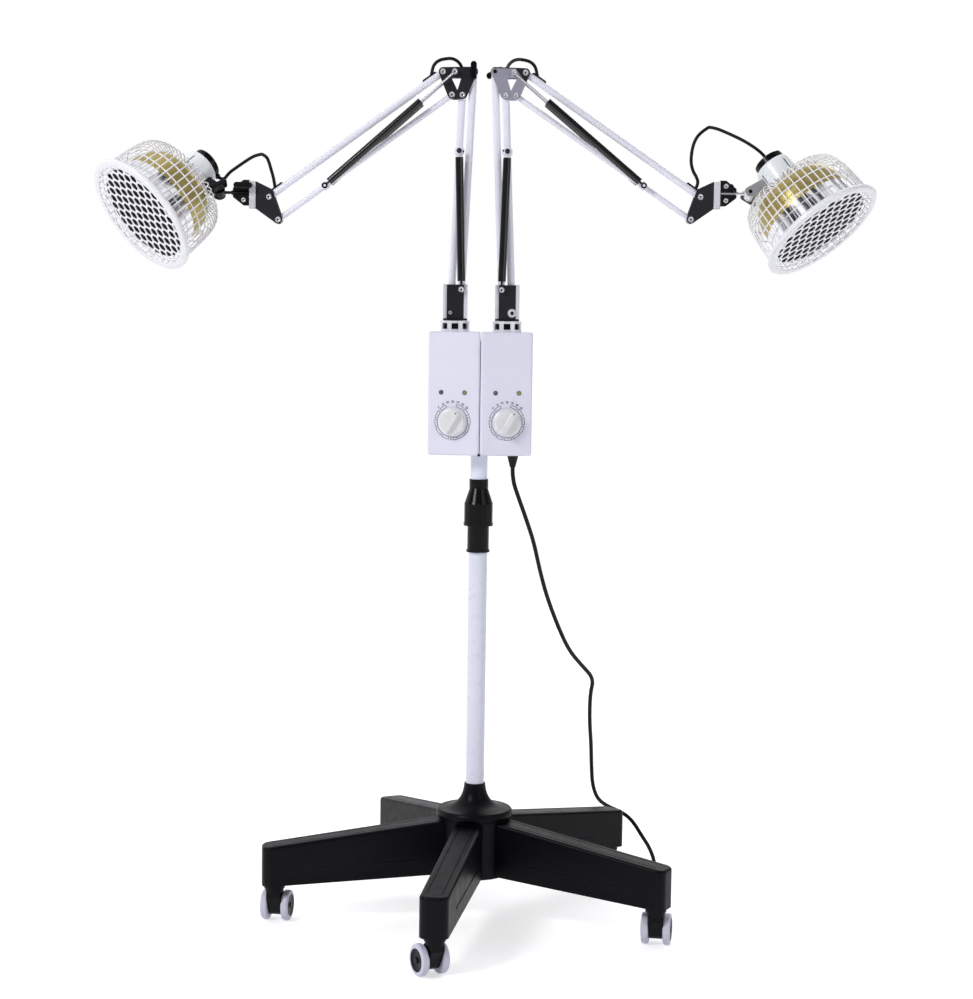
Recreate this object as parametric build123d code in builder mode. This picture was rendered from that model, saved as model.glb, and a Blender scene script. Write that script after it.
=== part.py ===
from build123d import *
import math
import os

# Double-head infrared heat therapy lamp on a rolling stand. Millimetres, +Z up.
# The origin lies on the floor under the column; the control panels face -Y.
# Two equal spring arms stand on the control boxes. Each arm is drawn with its
# outward side along +X and its knob side along +Y; the left one is turned half round.

os.makedirs("parts", exist_ok=True)

# ------------------------------------------------------------------ driving sizes
RUNNING_FIT = 0.08        # radial clearance of a pin or shaft that turns in its hole
SEAT_GAP = 0.05           # clearance between a fixed pin and the plate that holds it
SIDE_GAP = 0.5            # clearance between faces that slide past each other

# five-leg base
LEG_COUNT = 5
FRONT_LEG_TURN = -10.0    # degrees by which the front leg points left of straight ahead
STEM_CIRCLE_R = 331.0     # casters' stems stand on this circle
LEG_OVERHANG = 21.0       # leg beyond its caster's stem
LEG_WIDTH = 46.0
LEG_WALL = 4.0
LEG_TOP_ROOT = 176.0      # heights of the leg's upper and lower edge lines, at the axis and at the tip
LEG_TOP_TIP = 128.5
LEG_BOTTOM_ROOT = 82.0
LEG_BOTTOM_TIP = 64.0
LEG_EDGE_R = 5.0
LEG_TIP_R = 14.0
LEG_GROOVE_W = 2.0
LEG_GROOVE_DEPTH = 1.2
LEG_GROOVE_OFFSET = 12.0
LEG_BEAD_FROM = 92.0      # raised line along each side of a leg
LEG_BEAD_TO = 276.0
LEG_BEAD_SIZE = 2.4
LEG_BEAD_PROUD = 1.0
STEM_BOSS_D = 34.0
STEM_BOSS_BOTTOM = 57.5
HUB_D = 112.0
HUB_BOTTOM = 76.0
HUB_TOP = 171.0

# hub cover
COVER_EDGE_R = 60.0
COVER_BULGE_R = 63.5
COVER_BULGE_H = 15.0
COVER_TOP = 228.0
COVER_NECK_R = 17.5
COVER_WALL = 2.5

# twin-wheel casters
WHEEL_D = 50.0
WHEEL_W = 12.0
WHEEL_EDGE_R = 3.5
WHEEL_HUB_D = 33.0
WHEEL_DISH = 1.5
CASTER_TRAIL = 16.0
CASTER_BODY_W = 22.0
CASTER_STEM_D = 10.0
CASTER_STEM_LENGTH = 40.0
CASTER_SHOULDER_D = 30.0
CASTER_SHOULDER_H = 5.0
CASTER_NECK_W = 24.0
AXLE_D = 6.0
AXLE_END = 1.0
# direction of trail of each caster at rest, in degrees anticlockwise from +Y
CASTER_TURNS = (29.0, -10.0, 20.0, 40.0, -10.0)

# telescoping column
LOWER_TUBE_D = 31.0
LOWER_TUBE_WALL = 1.2
LOWER_TUBE_BOTTOM = 92.0
LOWER_TUBE_TOP = 640.0
UPPER_TUBE_D = 28.0
UPPER_TUBE_WALL = 1.5
UPPER_TUBE_BOTTOM = 260.0
UPPER_TUBE_TOP = 955.0

# collet clamp
COLLET_BOTTOM = 614.0
COLLET_D = 35.6
COLLET_LIP_D = 38.8
COLLET_LIP_H = 4.0
COLLET_TOP = 700.0
COLLET_PIP_D = 4.0
COLLET_PIP_RISE = 22.0
COLLET_PIP_TURN = -108.0  # degrees from +X, so the pip faces front left
NUT_BOTTOM = 657.6
NUT_D = 47.0
NUT_FLANGE_D = 48.8
NUT_FLANGE_H = 5.0
NUT_SHOULDER = 693.8
NUT_NECK = 719.4
NUT_TOP = 734.2
NUT_NECK_D = 31.2
NUT_WAIST_D = 29.8
NUT_FLUTES = 12
NUT_FLUTE_D = 4.0

# control boxes
BOX_BOTTOM = 775.0
BOX_HEIGHT = 200.0
BOX_WIDTH = 84.0
BOX_SEAM = 1.0
BOX_FRONT = 46.0          # seam edge of the fronts ahead of the column's axis
BOX_SETBACK = 14.0        # outer edges of the fronts lie this far behind the seam edge
BOX_BACK = 34.0
BOX_PARTING = 17.0        # plane that parts front and rear covers, ahead of the axis
BOX_WALL = 2.5
BOX_SEAM_R = 4.0
BOX_EDGE_R = 3.5
TUBE_GROOVE_GAP = 0.3
PANEL_CENTRE = 44.0       # knob line's distance from the seam
KNOB_HEIGHT = 54.5        # above the box's bottom
LAMP_HEIGHT = 102.0
LAMP_SPACING = 38.5
LAMP_D = 6.0
LAMP_PROUD = 1.6
LAMP_LENGTH = 7.0

# timers
TIMER_W = 46.0
TIMER_DEPTH = 24.0
TIMER_GAP = 1.5
BUSHING_D = 10.0
BUSHING_PROUD = 1.5
SHAFT_D = 6.0
SHAFT_REACH = 12.0
KNOB_D = 43.0
KNOB_TOP_D = 39.0
KNOB_H = 9.0
KNOB_GRIP_W = 9.0
KNOB_GRIP_H = 9.0
KNOB_GAP = 2.0
KNOB_POINTS = 30.0        # degrees to the right of straight up

# bracket that holds the boxes on the upper tube
BRACKET_W = 110.0
BRACKET_H = 64.0
BRACKET_T = 3.0
BRACKET_CORNER_R = 7.0
BRACKET_BOTTOM = 845.0
BRACKET_SCREW_X = 42.0
BRACKET_SCREW_Z = 22.0
SADDLE_W = 24.0
SCREW_D = 4.0
SCREW_HEAD_D = 8.0
SCREW_HEAD_H = 2.5
SCREW_LENGTH = 6.0

# mains cord
CORD_D = 7.0
CORD_EXIT_X = 54.8
CORD_EXIT_Y = -15.0
RELIEF_LENGTH = 20.0
RELIEF_TOP_D = 19.0
RELIEF_TIP_D = 9.0
ROUTE_TO_COIL = [
    (CORD_EXIT_X, CORD_EXIT_Y, 735.0), (65.0, -12.0, 706.0), (79.0, -4.0, 668.0),
    (92.0, 7.0, 630.0), (101.0, 20.0, 590.0), (114.0, 38.0, 541.0), (134.0, 65.0, 487.0),
    (156.0, 95.0, 437.0), (180.0, 124.0, 406.0), (203.0, 146.0, 379.0), (198.0, 162.0, 350.0),
    (199.0, 189.0, 299.0), (204.0, 215.0, 251.0), (207.0, 240.0, 201.0), (210.0, 257.0, 168.0),
    (220.0, 272.0, 138.0), (240.0, 286.0, 121.0), (266.0, 291.0, 110.0), (285.0, 285.0, 96.0),
    (301.0, 272.0, 72.0), (315.0, 258.0, 53.0), (323.0, 240.0, 32.0), (322.0, 215.0, 12.0),
    (307.0, 190.0, 3.5), (280.0, 170.0, 3.5), (246.0, 158.0, 3.5), (216.0, 161.0, 3.5),
    (194.0, 180.0, 3.5), (183.0, 210.0, 3.5), (181.0, 240.0, 3.5),
]
COIL_CENTRE = (138.0, 268.0)
COIL_TURN_R = 38.5
COIL_LAYERS = 4
COIL_EDGE_R = 3.1
PLUG_LENGTH = 36.0
PLUG_WIDTH = 26.0
PLUG_HEIGHT = 16.0
PLUG_EDGE_R = 4.0
PLUG_PIN_D = 4.8
PLUG_PIN_LENGTH = 18.0
PLUG_PIN_SPACING = 13.0
PLUG_TAIL_LENGTH = 24.0
PLUG_RUN = 54.0           # cord between the coil's last turn and the plug's tail
PLUG_TAIL_D = 11.0

# arm sockets and forks
ARM_SPACING = 84.5
SOCKET_D = 47.5
SOCKET_H = 17.5
SOCKET_WINDOWS = 8
SOCKET_WINDOW_W = 11.0
SOCKET_WINDOW_H = 9.5
SOCKET_WINDOW_DEPTH = 5.0
SPIGOT_D = 26.0
FORK_BASE_T = 3.0
FORK_BASE_Y = 24.0
FORK_WIDTH = 39.0
FORK_HEIGHT = 76.0        # fork's top above the boxes
FORK_FLANGE_T = 3.0
FORK_FLANGE_Y = 5.0
CHEEK_T = 2.5
BAR_GAP = 1.2             # side clearance between a bar's eye and a cheek
PIN_D = 6.0
RIVET_HEAD_D = 9.5
RIVET_HEAD_H = 1.6

# parallelogram arms: pivot places in the plane of an arm, x outward and z up
FORK_PIVOT_X = 8.0        # lower fork pivot, from the socket's axis
FORK_PIVOT_RISE = 30.6    # lower fork pivot above the boxes
FORK_PAIR_X = -17.8       # from the lower to the upper fork pivot
FORK_PAIR_Z = 37.5
LOWER_ARM_LENGTH = 350.0
LOWER_LEAN = 2.5          # degrees inward at rest
LOWER_BAR_D = 12.0
ELBOW_OFFSET = 16.6       # between the elbow's two lower pivots
ELBOW_PAIR_X = 14.9       # from the lower to the upper pivot of the upper arm
ELBOW_PAIR_Z = 36.25
UPPER_ARM_LENGTH = 345.5
UPPER_DROPS = (36.1, 34.2)  # degrees below level at rest, left and right
UPPER_LOW_BAR_D = 9.4
UPPER_TOP_BAR_D = 11.6
EYE_D = 13.0
OPEN_EYE_GAP = 0.5        # clearance of the eye where the linkage is open

# elbow plates
ELBOW_PLATE_R = 7.0
ELBOW_WINDOW = [(18.0, 27.0), (2.0, 27.0), (8.0, 7.0)]
ANCHOR_X = 12.3           # spring anchor, from the elbow's inner lower pivot
ANCHOR_Z = 35.7
LEAD_BLOCK_X = (-4.0, 4.0)    # block between the plates that holds the lamp's lead
LEAD_BLOCK_Z = (33.0, 42.0)
LEAD_D = 5.4
LEAD_RISE = [(0.5, 0, 38.0), (9.8, 0, 54.5), (24.6, 0, 57.7)]

# tension springs in sleeves, one on each side of an arm
SPRING_Y = 17.0
SPRING_EYE_D = 10.0
SPRING_EYE_W = 4.0
SPRING_NECK_D = 4.0
SPRING_BORE_D = 10.8
LOWER_SLEEVE_D = 12.8
LOWER_CLIP_AT = 260.0     # along the lower outer bar
LOWER_SLEEVE_FROM = 13.4
LOWER_SLEEVE_LENGTH = 198.6
LOWER_WIRE_D = 2.4
LOWER_WIRE_LENGTH = 52.0
LOWER_WIRE_SLANT = 6.55   # degrees between the wire and the bar
UPPER_SLEEVE_D = 12.4
UPPER_CLIP_AT = 251.6     # along the upper arm's low bar
UPPER_SLEEVE_FROM = 9.0
UPPER_SLEEVE_LENGTH = 196.0
UPPER_ROD_D = 3.2
UPPER_ROD_LENGTH = 132.0
CLIP_LENGTH = 9.0
CLIP_WALL = 2.2
CLIP_PIN_D = 4.0

# head bracket, from its lower pivot
BRACKET_CHEEK_R = 7.0
HEAD_AXIS_Z = 42.4        # stud's height above the lower pivot
BAND_FROM = 36.0
BAND_TO = 47.0
BAND_BOTTOM = 17.5
BAND_TOP = 60.5
CLAMP_TO = 73.0
CLAMP_R = 20.5
CLAMP_NOSE_H = 15.0
CLAMP_SLOT_H = 6.6
CLAMP_RIVET_X = 56.0
CLAMP_RIVET_RISE = 11.5
STUD_D = 8.0
STUD_NECK_D = 5.0
STUD_NECK_FROM = 76.0
STUD_REACH = 95.7         # from the lower pivot to the tilt pin
STUD_EYE_D = 18.0
STUD_EYE_W = 9.0

# wing knobs
WING_HUB_D = 12.0
WING_HUB_H = 8.0
WING_SPAN = 30.0
WING_W = 10.0
WING_T = 6.0
ELBOW_WING_TURNS = (0.0, 62.0)   # degrees from upright, left and right
TILT_WING_TURN = 35.0

# lamp heads: z runs from the rim's face towards the cap, x towards the stud
HEAD_ROLLS = (40.5, -28.4)   # stud's turn about its own axis at rest, left and right
HEAD_TILTS = (50.4, 57.4)    # lamp's axis below the stud's line at rest
TILT_PIN_X = 61.0
TILT_PIN_Z = 121.0
RIM_D = 209.0
RIM_T = 6.0
RIM_BORE_D = 170.0
CAGE_FOOT_D = 192.0
CAGE_WAIST_D = 184.0
CAGE_WAIST_Z = 72.0
CAGE_SHOULDER_R = 24.0
CAGE_TOP_Z = 100.0
CAGE_T = 2.0
CAGE_WIRES = 48
CAGE_WIRE_W = 2.0
CAGE_HOOPS = (13.0, 44.0, 63.0, 80.0)
CAGE_HOOP_W = 2.4
CAGE_FOOT_H = 1.5
GRILLE_T = 1.6
GRILLE_PITCH = 22.0
GRILLE_BAR = 3.0
GRILLE_ROWS = (7, 8)
REFLECTOR_WALL = 1.2
REFLECTOR_MOUTH_R = 84.0
REFLECTOR_MOUTH_Z = 9.0
REFLECTOR_WAIST_R = 78.0
REFLECTOR_WAIST_Z = 43.0
REFLECTOR_DOME_R = 70.0
REFLECTOR_DOME_Z = 81.0
REFLECTOR_TOP_Z = 98.0
HEAT_PLATE_D = 160.0
HEAT_PLATE_T = 4.0
HEAT_PLATE_Z = 13.0
HEAT_POST_D = 12.0
CAP_D = 62.0
CAP_TOP = 145.0
CAP_WALL = 1.6
CAP_EDGE_R = 4.0
CAP_SLOTS = 8
CAP_SLOT_W = 2.4
CAP_SLOT_FROM = 112.0
CAP_SLOT_TO = 134.0
END_DISC_D = 46.0
END_DISC_H = 11.0
GLAND_D = 10.0
GLAND_LENGTH = 9.0
SIDE_GLAND_TURN = 20.0    # degrees round the cap from the stud's side
EAR_T = 3.0
EAR_R = 9.5

# ------------------------------------------------------------------ worked-out sizes
LEG_TIP = STEM_CIRCLE_R + LEG_OVERHANG
LOWER_TUBE_BORE = LOWER_TUBE_D - 2 * LOWER_TUBE_WALL
BOX_TOP = BOX_BOTTOM + BOX_HEIGHT
PANEL_SLOPE = math.degrees(math.atan2(BOX_SETBACK, BOX_WIDTH))
SOCKET_TOP = BOX_TOP + SOCKET_H
FORK_BASE = SOCKET_TOP + SIDE_GAP
CHEEK_IN = LOWER_BAR_D / 2 + BAR_GAP
CHEEK_OUT = CHEEK_IN + CHEEK_T
SPRING_PIN_OUT = SPRING_Y + SPRING_EYE_W / 2 + SEAT_GAP + RIVET_HEAD_H


def turned(degrees):
    """Unit direction in the floor plane, in degrees anticlockwise from +X."""
    return Vector(math.cos(math.radians(degrees)), math.sin(math.radians(degrees)), 0)


def save(piece, name, place=Location()):
    """Label a finished node, put it in its place and write its STEP file."""
    piece.part.label = name
    node = piece.part.moved(place)
    node.label = name
    export_step(node, f"parts/{name}.step")


def rod(start, end, radius, mode=Mode.ADD):
    """Round rod from one point to another."""
    start, end = Vector(start), Vector(end)
    with BuildSketch(Plane(origin=start, z_dir=end - start)) as section:
        Circle(radius)
    extrude(section.sketch, amount=(end - start).length, mode=mode)


def cross_rod(x, z, radius, near, far, mode=Mode.ADD):
    """Round rod along Y through the point x, z."""
    rod((x, near, z), (x, far, z), radius, mode)


def rivet(x, z, reach, head_from):
    """Pin through both cheeks, with a head outside each of them."""
    cross_rod(x, z, PIN_D / 2, -reach, reach)
    for side in (-1, 1):
        cross_rod(x, z, RIVET_HEAD_D / 2, side * head_from, side * (head_from + RIVET_HEAD_H))


# ------------------------------------------------------------------ base
def leg_profile(inset):
    """Side outline of a leg, from the axis to its tip, drawn inset from the skin."""
    slope = (LEG_TOP_TIP - LEG_TOP_ROOT) / LEG_TIP
    tip = LEG_TIP - inset
    foot = 0 if inset == 0 else HUB_BOTTOM
    Polygon(
        (0, LEG_TOP_ROOT - inset),
        (tip, LEG_TOP_ROOT + slope * tip - inset),
        (tip, LEG_BOTTOM_TIP - foot),
        (0, LEG_BOTTOM_ROOT - foot),
        align=None,
    )


with BuildPart() as leg:
    with BuildSketch(Plane.XZ):
        leg_profile(0)
    extrude(amount=LEG_WIDTH / 2, both=True)
    tip_edges = leg.edges().filter_by(Axis.Z).group_by(Axis.X)[-1]
    fillet(tip_edges, LEG_TIP_R)
    top_face = leg.faces().filter_by(GeomType.PLANE).sort_by(Axis.Z)[-1]
    fillet(top_face.edges().filter_by(lambda e: e.center().X > LEG_EDGE_R), LEG_EDGE_R)
    with BuildSketch(Plane.XZ):
        leg_profile(LEG_WALL)
    extrude(amount=LEG_WIDTH / 2 - LEG_WALL, both=True, mode=Mode.SUBTRACT)
    top_plane = Plane(
        origin=(0, 0, LEG_TOP_ROOT),
        x_dir=(LEG_TIP, 0, LEG_TOP_TIP - LEG_TOP_ROOT),
        z_dir=(LEG_TOP_ROOT - LEG_TOP_TIP, 0, LEG_TIP),
    )
    with BuildSketch(top_plane):
        with Locations((LEG_TIP / 2, LEG_GROOVE_OFFSET), (LEG_TIP / 2, -LEG_GROOVE_OFFSET)):
            Rectangle(LEG_TIP - 2 * LEG_TIP_R, LEG_GROOVE_W)
    extrude(amount=-LEG_GROOVE_DEPTH, mode=Mode.SUBTRACT)
    bead_slope = (LEG_BOTTOM_TIP - LEG_BOTTOM_ROOT) / LEG_TIP
    bead_z = (LEG_TOP_ROOT + LEG_BOTTOM_ROOT) / 2 - LEG_WIDTH / 2
    with BuildSketch(Plane.XZ):
        Polygon(
            (LEG_BEAD_FROM, bead_z + bead_slope * LEG_BEAD_FROM),
            (LEG_BEAD_TO, bead_z + bead_slope * LEG_BEAD_TO),
            (LEG_BEAD_TO, bead_z + bead_slope * LEG_BEAD_TO + LEG_BEAD_SIZE),
            (LEG_BEAD_FROM, bead_z + bead_slope * LEG_BEAD_FROM + LEG_BEAD_SIZE),
            align=None,
        )
    extrude(amount=LEG_WIDTH / 2 + LEG_BEAD_PROUD, both=True)
    with BuildSketch(Plane.XZ):
        leg_profile(LEG_WALL)
    extrude(amount=LEG_WIDTH / 2 - LEG_WALL, both=True, mode=Mode.SUBTRACT)
    boss_top = LEG_TOP_TIP - LEG_WALL
    rod((STEM_CIRCLE_R, 0, STEM_BOSS_BOTTOM), (STEM_CIRCLE_R, 0, boss_top), STEM_BOSS_D / 2)

leg_turns = [FRONT_LEG_TURN - 90 + 360 / LEG_COUNT * k for k in range(LEG_COUNT)]

with BuildPart() as base_star:
    for turn in leg_turns:
        add(leg.part.moved(Location((0, 0, 0), (0, 0, turn))))
    rod((0, 0, HUB_BOTTOM), (0, 0, HUB_TOP), HUB_D / 2)
    rod((0, 0, HUB_TOP), (0, 0, HUB_TOP + LEG_TOP_ROOT), HUB_D / 2, Mode.SUBTRACT)
    rod((0, 0, LOWER_TUBE_BOTTOM), (0, 0, HUB_TOP), LOWER_TUBE_D / 2, Mode.SUBTRACT)
    for turn in leg_turns:
        stem = turned(turn) * STEM_CIRCLE_R
        bore_top = STEM_BOSS_BOTTOM + CASTER_STEM_LENGTH + SIDE_GAP
        rod(stem + Vector(0, 0, STEM_BOSS_BOTTOM), stem + Vector(0, 0, bore_top),
            CASTER_STEM_D / 2 + RUNNING_FIT, Mode.SUBTRACT)
save(base_star, "base_star")

with BuildPart() as hub_cover:
    bulge_top = HUB_TOP + COVER_BULGE_H
    bore = LOWER_TUBE_D / 2 + SEAT_GAP
    with BuildSketch(Plane.XZ):
        with BuildLine():
            ThreePointArc(
                (COVER_EDGE_R, HUB_TOP),
                (COVER_BULGE_R, HUB_TOP + COVER_BULGE_H / 2),
                (COVER_EDGE_R, bulge_top)
            )
            Bezier(
                (COVER_EDGE_R, bulge_top), (COVER_NECK_R + COVER_WALL, bulge_top),
                (COVER_NECK_R, COVER_TOP)
            )
            Polyline((COVER_NECK_R, COVER_TOP), (bore, COVER_TOP), (bore, COVER_TOP - COVER_BULGE_H))
            Bezier(
                (bore, COVER_TOP - COVER_BULGE_H),
                (COVER_NECK_R, bulge_top - COVER_WALL),
                (COVER_EDGE_R - COVER_WALL, bulge_top - COVER_WALL),
            )
            Polyline(
                (COVER_EDGE_R - COVER_WALL, bulge_top - COVER_WALL),
                (COVER_EDGE_R - COVER_WALL, HUB_TOP),
                (COVER_EDGE_R, HUB_TOP),
            )
        make_face()
    revolve(axis=Axis.Z)
save(hub_cover, "hub_cover")

# ------------------------------------------------------------------ casters
with BuildPart() as caster_body:
    # stem in the boss, shoulder under it, and a body that carries the axle behind the stem
    shoulder_bottom = STEM_BOSS_BOTTOM - SIDE_GAP - CASTER_SHOULDER_H
    rod((0, 0, shoulder_bottom), (0, 0, shoulder_bottom + CASTER_SHOULDER_H), CASTER_SHOULDER_D / 2)
    rod((0, 0, shoulder_bottom), (0, 0, STEM_BOSS_BOTTOM + CASTER_STEM_LENGTH), CASTER_STEM_D / 2)
    with BuildSketch(Plane.YZ):
        with Locations((0, shoulder_bottom - CASTER_SHOULDER_H)):
            Rectangle(CASTER_NECK_W, 2 * CASTER_SHOULDER_H)
        with Locations((CASTER_TRAIL, WHEEL_D / 2)):
            Circle(WHEEL_HUB_D / 2)
        make_hull()
    extrude(amount=CASTER_BODY_W / 2, both=True)
    axle_end = CASTER_BODY_W / 2 + SIDE_GAP + WHEEL_W + AXLE_END
    rod((-axle_end, CASTER_TRAIL, WHEEL_D / 2), (axle_end, CASTER_TRAIL, WHEEL_D / 2), AXLE_D / 2)

with BuildPart() as wheel_pair:
    wheel_in = CASTER_BODY_W / 2 + SIDE_GAP
    wheel_out = wheel_in + WHEEL_W
    with BuildSketch(Plane.XY):
        with BuildLine():
            Polyline(
                (wheel_in, AXLE_D / 2 + RUNNING_FIT),
                (wheel_out - WHEEL_DISH, AXLE_D / 2 + RUNNING_FIT),
                (wheel_out - WHEEL_DISH, WHEEL_HUB_D / 2),
                (wheel_out, WHEEL_HUB_D / 2),
                (wheel_out, WHEEL_D / 2 - WHEEL_EDGE_R),
            )
            RadiusArc(
                (wheel_out, WHEEL_D / 2 - WHEEL_EDGE_R),
                (wheel_out - WHEEL_EDGE_R, WHEEL_D / 2),
                -WHEEL_EDGE_R
            )
            Line((wheel_out - WHEEL_EDGE_R, WHEEL_D / 2), (wheel_in + WHEEL_EDGE_R, WHEEL_D / 2))
            RadiusArc(
                (wheel_in + WHEEL_EDGE_R, WHEEL_D / 2), (wheel_in, WHEEL_D / 2 - WHEEL_EDGE_R), -WHEEL_EDGE_R
            )
            Line((wheel_in, WHEEL_D / 2 - WHEEL_EDGE_R), (wheel_in, AXLE_D / 2 + RUNNING_FIT))
        make_face()
    revolve(axis=Axis.X)
    mirror(about=Plane.YZ)

for k, (turn, trail) in enumerate(zip(leg_turns, CASTER_TURNS), start=1):
    caster_place = Location(turned(turn) * STEM_CIRCLE_R, (0, 0, trail))
    save(caster_body, f"caster_body_{k}", caster_place)
    save(wheel_pair, f"caster_wheels_{k}", caster_place * Location((0, CASTER_TRAIL, WHEEL_D / 2)))

# ------------------------------------------------------------------ column
with BuildPart() as lower_tube:
    rod((0, 0, LOWER_TUBE_BOTTOM), (0, 0, LOWER_TUBE_TOP), LOWER_TUBE_D / 2)
    rod((0, 0, LOWER_TUBE_BOTTOM), (0, 0, LOWER_TUBE_TOP), LOWER_TUBE_BORE / 2, Mode.SUBTRACT)
save(lower_tube, "lower_tube")

with BuildPart() as upper_tube:
    rod((0, 0, UPPER_TUBE_BOTTOM), (0, 0, UPPER_TUBE_TOP), UPPER_TUBE_D / 2)
    rod((0, 0, UPPER_TUBE_BOTTOM), (0, 0, UPPER_TUBE_TOP), UPPER_TUBE_D / 2 - UPPER_TUBE_WALL, Mode.SUBTRACT)
save(upper_tube, "upper_tube")

with BuildPart() as collet_body:
    rod((0, 0, COLLET_BOTTOM), (0, 0, COLLET_TOP), COLLET_D / 2)
    rod((0, 0, COLLET_BOTTOM), (0, 0, COLLET_BOTTOM + COLLET_LIP_H), COLLET_LIP_D / 2)
    pip = turned(COLLET_PIP_TURN)
    pip_z = Vector(0, 0, COLLET_BOTTOM + COLLET_PIP_RISE)
    rod(pip * LOWER_TUBE_D / 2 + pip_z, pip * (COLLET_D / 2 + SIDE_GAP) + pip_z, COLLET_PIP_D / 2)
    rod((0, 0, COLLET_BOTTOM), (0, 0, LOWER_TUBE_TOP), LOWER_TUBE_D / 2, Mode.SUBTRACT)
    rod((0, 0, LOWER_TUBE_TOP), (0, 0, COLLET_TOP), LOWER_TUBE_BORE / 2, Mode.SUBTRACT)
save(collet_body, "collet_body")

with BuildPart() as collet_nut:
    neck_bore = LOWER_TUBE_BORE / 2
    thread_bore = COLLET_D / 2 + RUNNING_FIT
    cavity_top = COLLET_TOP + SIDE_GAP
    with BuildSketch(Plane.XZ):
        Polygon(
            (thread_bore, NUT_BOTTOM),
            (NUT_FLANGE_D / 2, NUT_BOTTOM),
            (NUT_FLANGE_D / 2, NUT_BOTTOM + NUT_FLANGE_H),
            (NUT_D / 2, NUT_BOTTOM + NUT_FLANGE_H),
            (NUT_D / 2, NUT_SHOULDER),
            (NUT_WAIST_D / 2, NUT_NECK),
            (NUT_NECK_D / 2, NUT_NECK),
            (NUT_NECK_D / 2, NUT_TOP),
            (neck_bore, NUT_TOP),
            (neck_bore, cavity_top),
            (thread_bore, cavity_top),
            align=None,
        )
    revolve(axis=Axis.Z)
    with BuildSketch(Plane.XY.offset(NUT_BOTTOM + NUT_FLANGE_H)):
        with PolarLocations(NUT_D / 2 + NUT_FLUTE_D / 4, NUT_FLUTES):
            Circle(NUT_FLUTE_D / 2)
    extrude(amount=NUT_SHOULDER - NUT_BOTTOM, mode=Mode.SUBTRACT)
save(collet_nut, "collet_nut")


# ------------------------------------------------------------------ control boxes
def box_outline(inset):
    """Plan of the right-hand box, drawn inset from its skin."""
    near, far = BOX_SEAM / 2 + inset, BOX_SEAM / 2 + BOX_WIDTH - inset
    with BuildLine() as outline:
        FilletPolyline(
            (far, BOX_BACK - inset),
            (near, BOX_BACK - inset),
            (near, -BOX_FRONT + inset),
            (far, -BOX_FRONT + BOX_SETBACK + inset),
            close=True,
            radius=BOX_SEAM_R,
        )
    make_face(outline.line.edges())


def panel(x, z):
    """Plane on the right-hand front, z pointing out of it, at the given distance from the seam."""
    y = -BOX_FRONT + (x - BOX_SEAM / 2) * BOX_SETBACK / BOX_WIDTH
    return Plane(origin=(x, y, z), x_dir=turned(PANEL_SLOPE), z_dir=turned(PANEL_SLOPE - 90))


knob_panel = panel(PANEL_CENTRE, BOX_BOTTOM + KNOB_HEIGHT)
lamp_panels = [
    panel(PANEL_CENTRE + side * LAMP_SPACING / 2, BOX_BOTTOM + LAMP_HEIGHT) for side in (-1, 1)
]


def box_cover(kept):
    """The pair of covers on one side of the parting plane."""
    with BuildPart() as cover:
        with BuildSketch(Plane.XY.offset(BOX_BOTTOM)):
            box_outline(0)
        extrude(amount=BOX_HEIGHT)
        rims = cover.faces().filter_by(Axis.Z).edges()
        fillet(rims, BOX_EDGE_R)
        with BuildSketch(Plane.XY.offset(BOX_BOTTOM + BOX_WALL)):
            box_outline(BOX_WALL)
        extrude(amount=BOX_HEIGHT - 2 * BOX_WALL, mode=Mode.SUBTRACT)
        # wall of the groove that takes the upper tube
        wall_r = UPPER_TUBE_D / 2 + TUBE_GROOVE_GAP + BOX_WALL
        groove_top = UPPER_TUBE_TOP + 2 * BOX_WALL
        with BuildSketch(Plane.XY.offset(BOX_BOTTOM + BOX_WALL / 2)):
            with BuildLine():
                ThreePointArc((0, -wall_r), (wall_r * math.sqrt(0.5), -wall_r * math.sqrt(0.5)), (wall_r, 0))
                Polyline(
                    (wall_r, 0), (wall_r, BOX_BACK - BOX_WALL / 2), (BOX_SEAM / 2, BOX_BACK - BOX_WALL / 2),
                    (BOX_SEAM / 2, -wall_r), (0, -wall_r)
                )
            make_face()
        extrude(amount=groove_top - BOX_BOTTOM)
        groove_r = UPPER_TUBE_D / 2 + TUBE_GROOVE_GAP
        with BuildSketch(Plane.XY.offset(BOX_BOTTOM)):
            Circle(groove_r)
            with Locations((0, BOX_BACK)):
                Rectangle(2 * groove_r, 2 * BOX_BACK)
        extrude(amount=UPPER_TUBE_TOP + BOX_WALL - BOX_BOTTOM, mode=Mode.SUBTRACT)
        with BuildSketch(knob_panel):
            Circle(BUSHING_D / 2 + SEAT_GAP)
        extrude(amount=-2 * BOX_WALL, mode=Mode.SUBTRACT)
        for lamp_panel in lamp_panels:
            with BuildSketch(lamp_panel):
                Circle(LAMP_D / 2 + SEAT_GAP)
            extrude(amount=-2 * BOX_WALL, mode=Mode.SUBTRACT)
        rod((CORD_EXIT_X, CORD_EXIT_Y, BOX_BOTTOM), (CORD_EXIT_X, CORD_EXIT_Y, BOX_BOTTOM + BOX_WALL),
            CORD_D / 2, Mode.SUBTRACT)
        for z in (-BRACKET_SCREW_Z, BRACKET_SCREW_Z):
            screw_z = BRACKET_BOTTOM + BRACKET_H / 2 + z
            cross_rod(BRACKET_SCREW_X, screw_z, SCREW_D / 2 + SEAT_GAP, 0, BOX_BACK, Mode.SUBTRACT)
        split(bisect_by=Plane.XZ.offset(BOX_PARTING), keep=kept)
        mirror(about=Plane.YZ)
    return cover


save(box_cover(Keep.TOP), "box_front_covers")
save(box_cover(Keep.BOTTOM), "box_rear_covers")

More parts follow.
